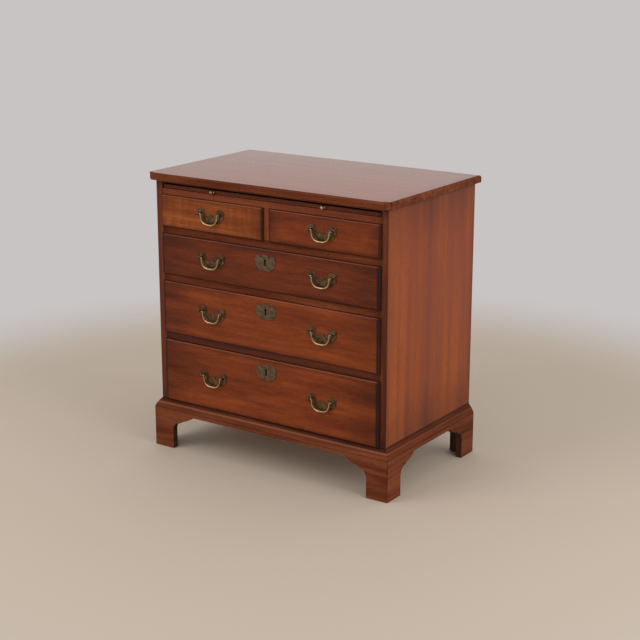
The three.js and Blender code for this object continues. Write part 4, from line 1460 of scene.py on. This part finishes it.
@dataclass
class Drawer:
    """One drawer: its lipped front, its dovetailed box, and its lock if it has one."""

    name: str
    timber: Timber
    place: Vec3
    tilt: float
    handles: tuple[str, ...]
    locked: bool
    light: float
    lip: float = 9 * MM
    side: float = 10 * MM
    back: float = 9 * MM
    front_edge: float = 0.25 * MM
    inner_edge: float = 0.3 * MM
    # The painted highlight along the top of the lip: how far below the top it lies, and its reach up and
    # down.
    highlight_from_top: float = 3 * MM
    highlight_width: float = 1.9 * MM

    def build(self, shop: Workshop) -> None:
        """Builds the drawer's pieces, its handles and its escutcheon.

        Args:
            shop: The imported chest.
        """
        self.front(shop)
        self.box(shop)
        for label in self.handles:
            BailHandle().build(shop, self.name, label)
        if self.locked:
            Escutcheon().build(shop, self.name)
            node = f"lock_{self.name}"
            piece = refined(shop.nodes[node], f"{node}_eased", self.inner_edge)
            shop.set_in(piece, LOCK_BRASS.material(), node)

    def front(self, shop: Workshop) -> None:
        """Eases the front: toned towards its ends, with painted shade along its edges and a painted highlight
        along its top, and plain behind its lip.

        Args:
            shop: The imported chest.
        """
        node = f"drawer_{self.name}_front"
        low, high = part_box(node)
        # Toning towards the ends, and narrow lines of painted shade along the ends and under the lip.
        reach, rim, rim_depth = (0.17, 13 * MM, 0.85) if self.locked else (0.05, 8 * MM, 0.75)
        shade = EdgeShade.on(
            node,
            reach=(reach, 0.0, 0.018),
            depth=0.42,
            rim=(rim, 0.0, 2.6 * MM),
            move=(0, 0, MM),
            rim_depth=rim_depth,
        )
        # A painted highlight along the top of the lip.
        rub = PaintedHighlight(high.z - self.highlight_from_top, self.highlight_width, 0.45)
        # The lowest corner of a box that holds everything behind the lip.
        behind_lip = Vector((-1, low.y + self.lip, 0))
        # The painted shade inside the keyhole, under the escutcheon.
        keyhole = None
        if self.locked:
            low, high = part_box(f"escutcheon_{self.name}")
            keyhole = ((low.x + high.x) / 2, (low.z + high.z) / 2)
        board = Board(self.name, Grain.ACROSS, self.place, self.tilt, shade, keyhole, self.light, rub)
        piece = shop.ease(node, self.timber, board, self.front_edge)
        plain = self.timber.material(Board(f"{self.name}_inside", Grain.ACROSS, self.place, self.tilt))
        shop.face_with(piece, plain, behind_lip, behind_lip + Vector((2, 1, 1)))

    def box(self, shop: Workshop) -> None:
        """Eases the box, whose sides' grain runs from front to back and whose back's runs across.

        Args:
            shop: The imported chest.
        """
        node = f"drawer_{self.name}_box"
        low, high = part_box(node)
        piece = shop.ease(node, OAK, Board(f"{self.name}_box", Grain.DEEP, self.place), self.inner_edge)
        inside = Vector((self.side + MM, 0, 0))
        back = OAK.material(Board(f"{self.name}_back", Grain.ACROSS, self.place))
        rear = Vector((low.x, high.y - self.back - MM, low.z)) + inside
        shop.face_with(piece, back, rear, high + Vector((0, MM, MM)) - inside)


DRAWERS = (
    Drawer("short_left", AMBER_WOOD, (0.13, 0.2, 0.37), 0.5, ("short_left",), False, -0.05),
    Drawer("short_right", FRONT_WOOD, (0.47, 0.4, 0.31), -0.8, ("short_right",), False, 0.0),
    Drawer("long_1", FRONT_WOOD, (0.33, 0.6, 0.53), 0.4, ("long_1_left", "long_1_right"), True, -0.1),
    Drawer("long_2", FRONT_WOOD, (0.17, 0.1, 0.61), -0.5, ("long_2_left", "long_2_right"), True, 0.03),
    Drawer("long_3", FRONT_WOOD, (0.05, 0.8, 0.27), 0.7, ("long_3_left", "long_3_right"), True, 0.0),
)


# Studio


@dataclass
class Studio:
    """A plain pale floor and surround, soft lamps, and the camera."""

    camera_at: Vec3 = (2.35606, -3.41226, 1.56769)
    camera_turn: Vec3 = (74.247, 0.0, 34.332)
    lens: float = 82.69
    sensor_width: float = 36.0
    lamps_aim: Vec3 = (0.0, 0.0, 0.42)
    lamp_size: float = 2.2
    lamp_power: float = 45.0
    floor_radius: float = 9.0
    first_ring: float = 0.5
    floor_rings: int = 12
    floor_sides: int = 72
    floor_colour: str = "#c1b4a3"
    floor_roughness: float = 0.7
    wall_colour: str = "#c8c4c3"
    near: float = 1.2
    far: float = 2.0
    fill: float = 1.25

    def seen(self, tree: Tree) -> Socket:
        """1 for rays that show the surround: those of the camera, of gloss and through glass.

        Args:
            tree: The node tree.

        Returns:
            The share.
        """
        path = add_node(tree, "LightPath")
        most = path.outputs["Is Camera Ray"]
        for name in ("Is Glossy Ray", "Is Transmission Ray"):
            most = add_node(tree, "Math", (most, path.outputs[name]), operation="MAXIMUM").outputs[0]
        return most

    def floor(self) -> None:
        """A round floor, rings of points at radius r, that turns into the pale wall further off."""
        rings = np.geomspace(self.first_ring, self.floor_radius, self.floor_rings)
        radius = np.concatenate([[0.0], rings])[:, None]
        angle = np.linspace(0, 2 * np.pi, self.floor_sides, endpoint=False)
        floor = Shell().tube(points_at(radius * np.cos(angle), radius * np.sin(angle), 0.0)).build("floor")
        material, tree, place = new_material("studio_floor")
        length = add_node(tree, "VectorMath", (place,), operation="LENGTH").outputs["Value"]
        fade = (length, self.near, self.far)
        away = add_node(tree, "MapRange", fade, interpolation_type="SMOOTHSTEP")
        share = add_node(tree, "Math", (away, self.seen(tree)), operation="MULTIPLY")
        paint = {"Base Color": linear(self.floor_colour), "Roughness": self.floor_roughness}
        near = add_node(tree, "BsdfPrincipled", paint)
        far = add_node(tree, "Emission", {"Color": linear(self.wall_colour)})
        add_node(tree, "OutputMaterial", {"Surface": add_node(tree, "MixShader", (share, near, far))})
        floor.data.materials.append(material)

    def lamp(self, name: str, at: Vec3, glint: bool) -> None:
        """A square soft lamp that faces the middle of the chest.

        Args:
            name: The lamp's name.
            at: Where it stands.
            glint: Glossy faces mirror it.
        """
        data = bpy.data.lights.new(name, "AREA")
        data.size = self.lamp_size
        data.energy = self.lamp_power
        lamp = bpy.data.objects.new(name, data)
        lamp.location = at
        lamp.visible_glossy = glint
        lamp.rotation_euler = (Vector(self.lamps_aim) - Vector(at)).to_track_quat("-Z", "Y").to_euler()
        bpy.context.scene.collection.objects.link(lamp)

    def surround(self) -> None:
        """A pale world, whose fill light on the chest is stronger than the background looks."""
        world = bpy.data.worlds.new("studio")
        bpy.context.scene.world = world
        world.use_nodes = True
        tree = world.node_tree
        tree.nodes.clear()
        strength = add_node(tree, "MapRange", (self.seen(tree), 0.0, 1.0, self.fill, 1.0))
        pale = {"Color": linear(self.wall_colour), "Strength": strength}
        add_node(tree, "OutputWorld", {"Surface": add_node(tree, "Background", pale)})

    def build(self) -> None:
        """Sets the floor, the lamps, the surround and the camera."""
        scene = bpy.context.scene
        scene.view_settings.view_transform = "Standard"
        self.floor()
        self.lamp("key_lamp", (-1.5, -2.9, 2.7), glint=True)
        self.lamp("side_lamp", (3.2, -0.4, 2.2), glint=False)
        self.surround()
        data = bpy.data.cameras.new("camera")
        data.lens = self.lens
        data.sensor_width = self.sensor_width
        data.clip_end = 60.0
        camera = bpy.data.objects.new("camera", data)
        camera.location = self.camera_at
        camera.rotation_euler = [math.radians(v) for v in self.camera_turn]
        scene.collection.objects.link(camera)
        scene.camera = camera


def main() -> None:
    """Builds the studio, then every piece of the chest, and reports each."""
    logging.basicConfig(level=logging.INFO, format="%(name)s: %(message)s")
    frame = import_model()
    behaviour = frame["record"]["behaviour"]
    body_of_node = {node: body for body, nodes in behaviour["bodies"].items() for node in nodes}
    pivots = {joint["name"]: Vector(joint["pos_m"]) for joint in behaviour["joints"] if "pos_m" in joint}
    shop = Workshop(frame["nodes"], body_of_node, pivots)
    Studio().build()
    for group in (TopBoard(), CaseBoards(), BaseMoulding(), BracketFeet(), BrushingSlide(), *DRAWERS):
        group.build(shop)
    log.info("%d pieces were built", shop.made)


if __name__ == "__main__":
    main()
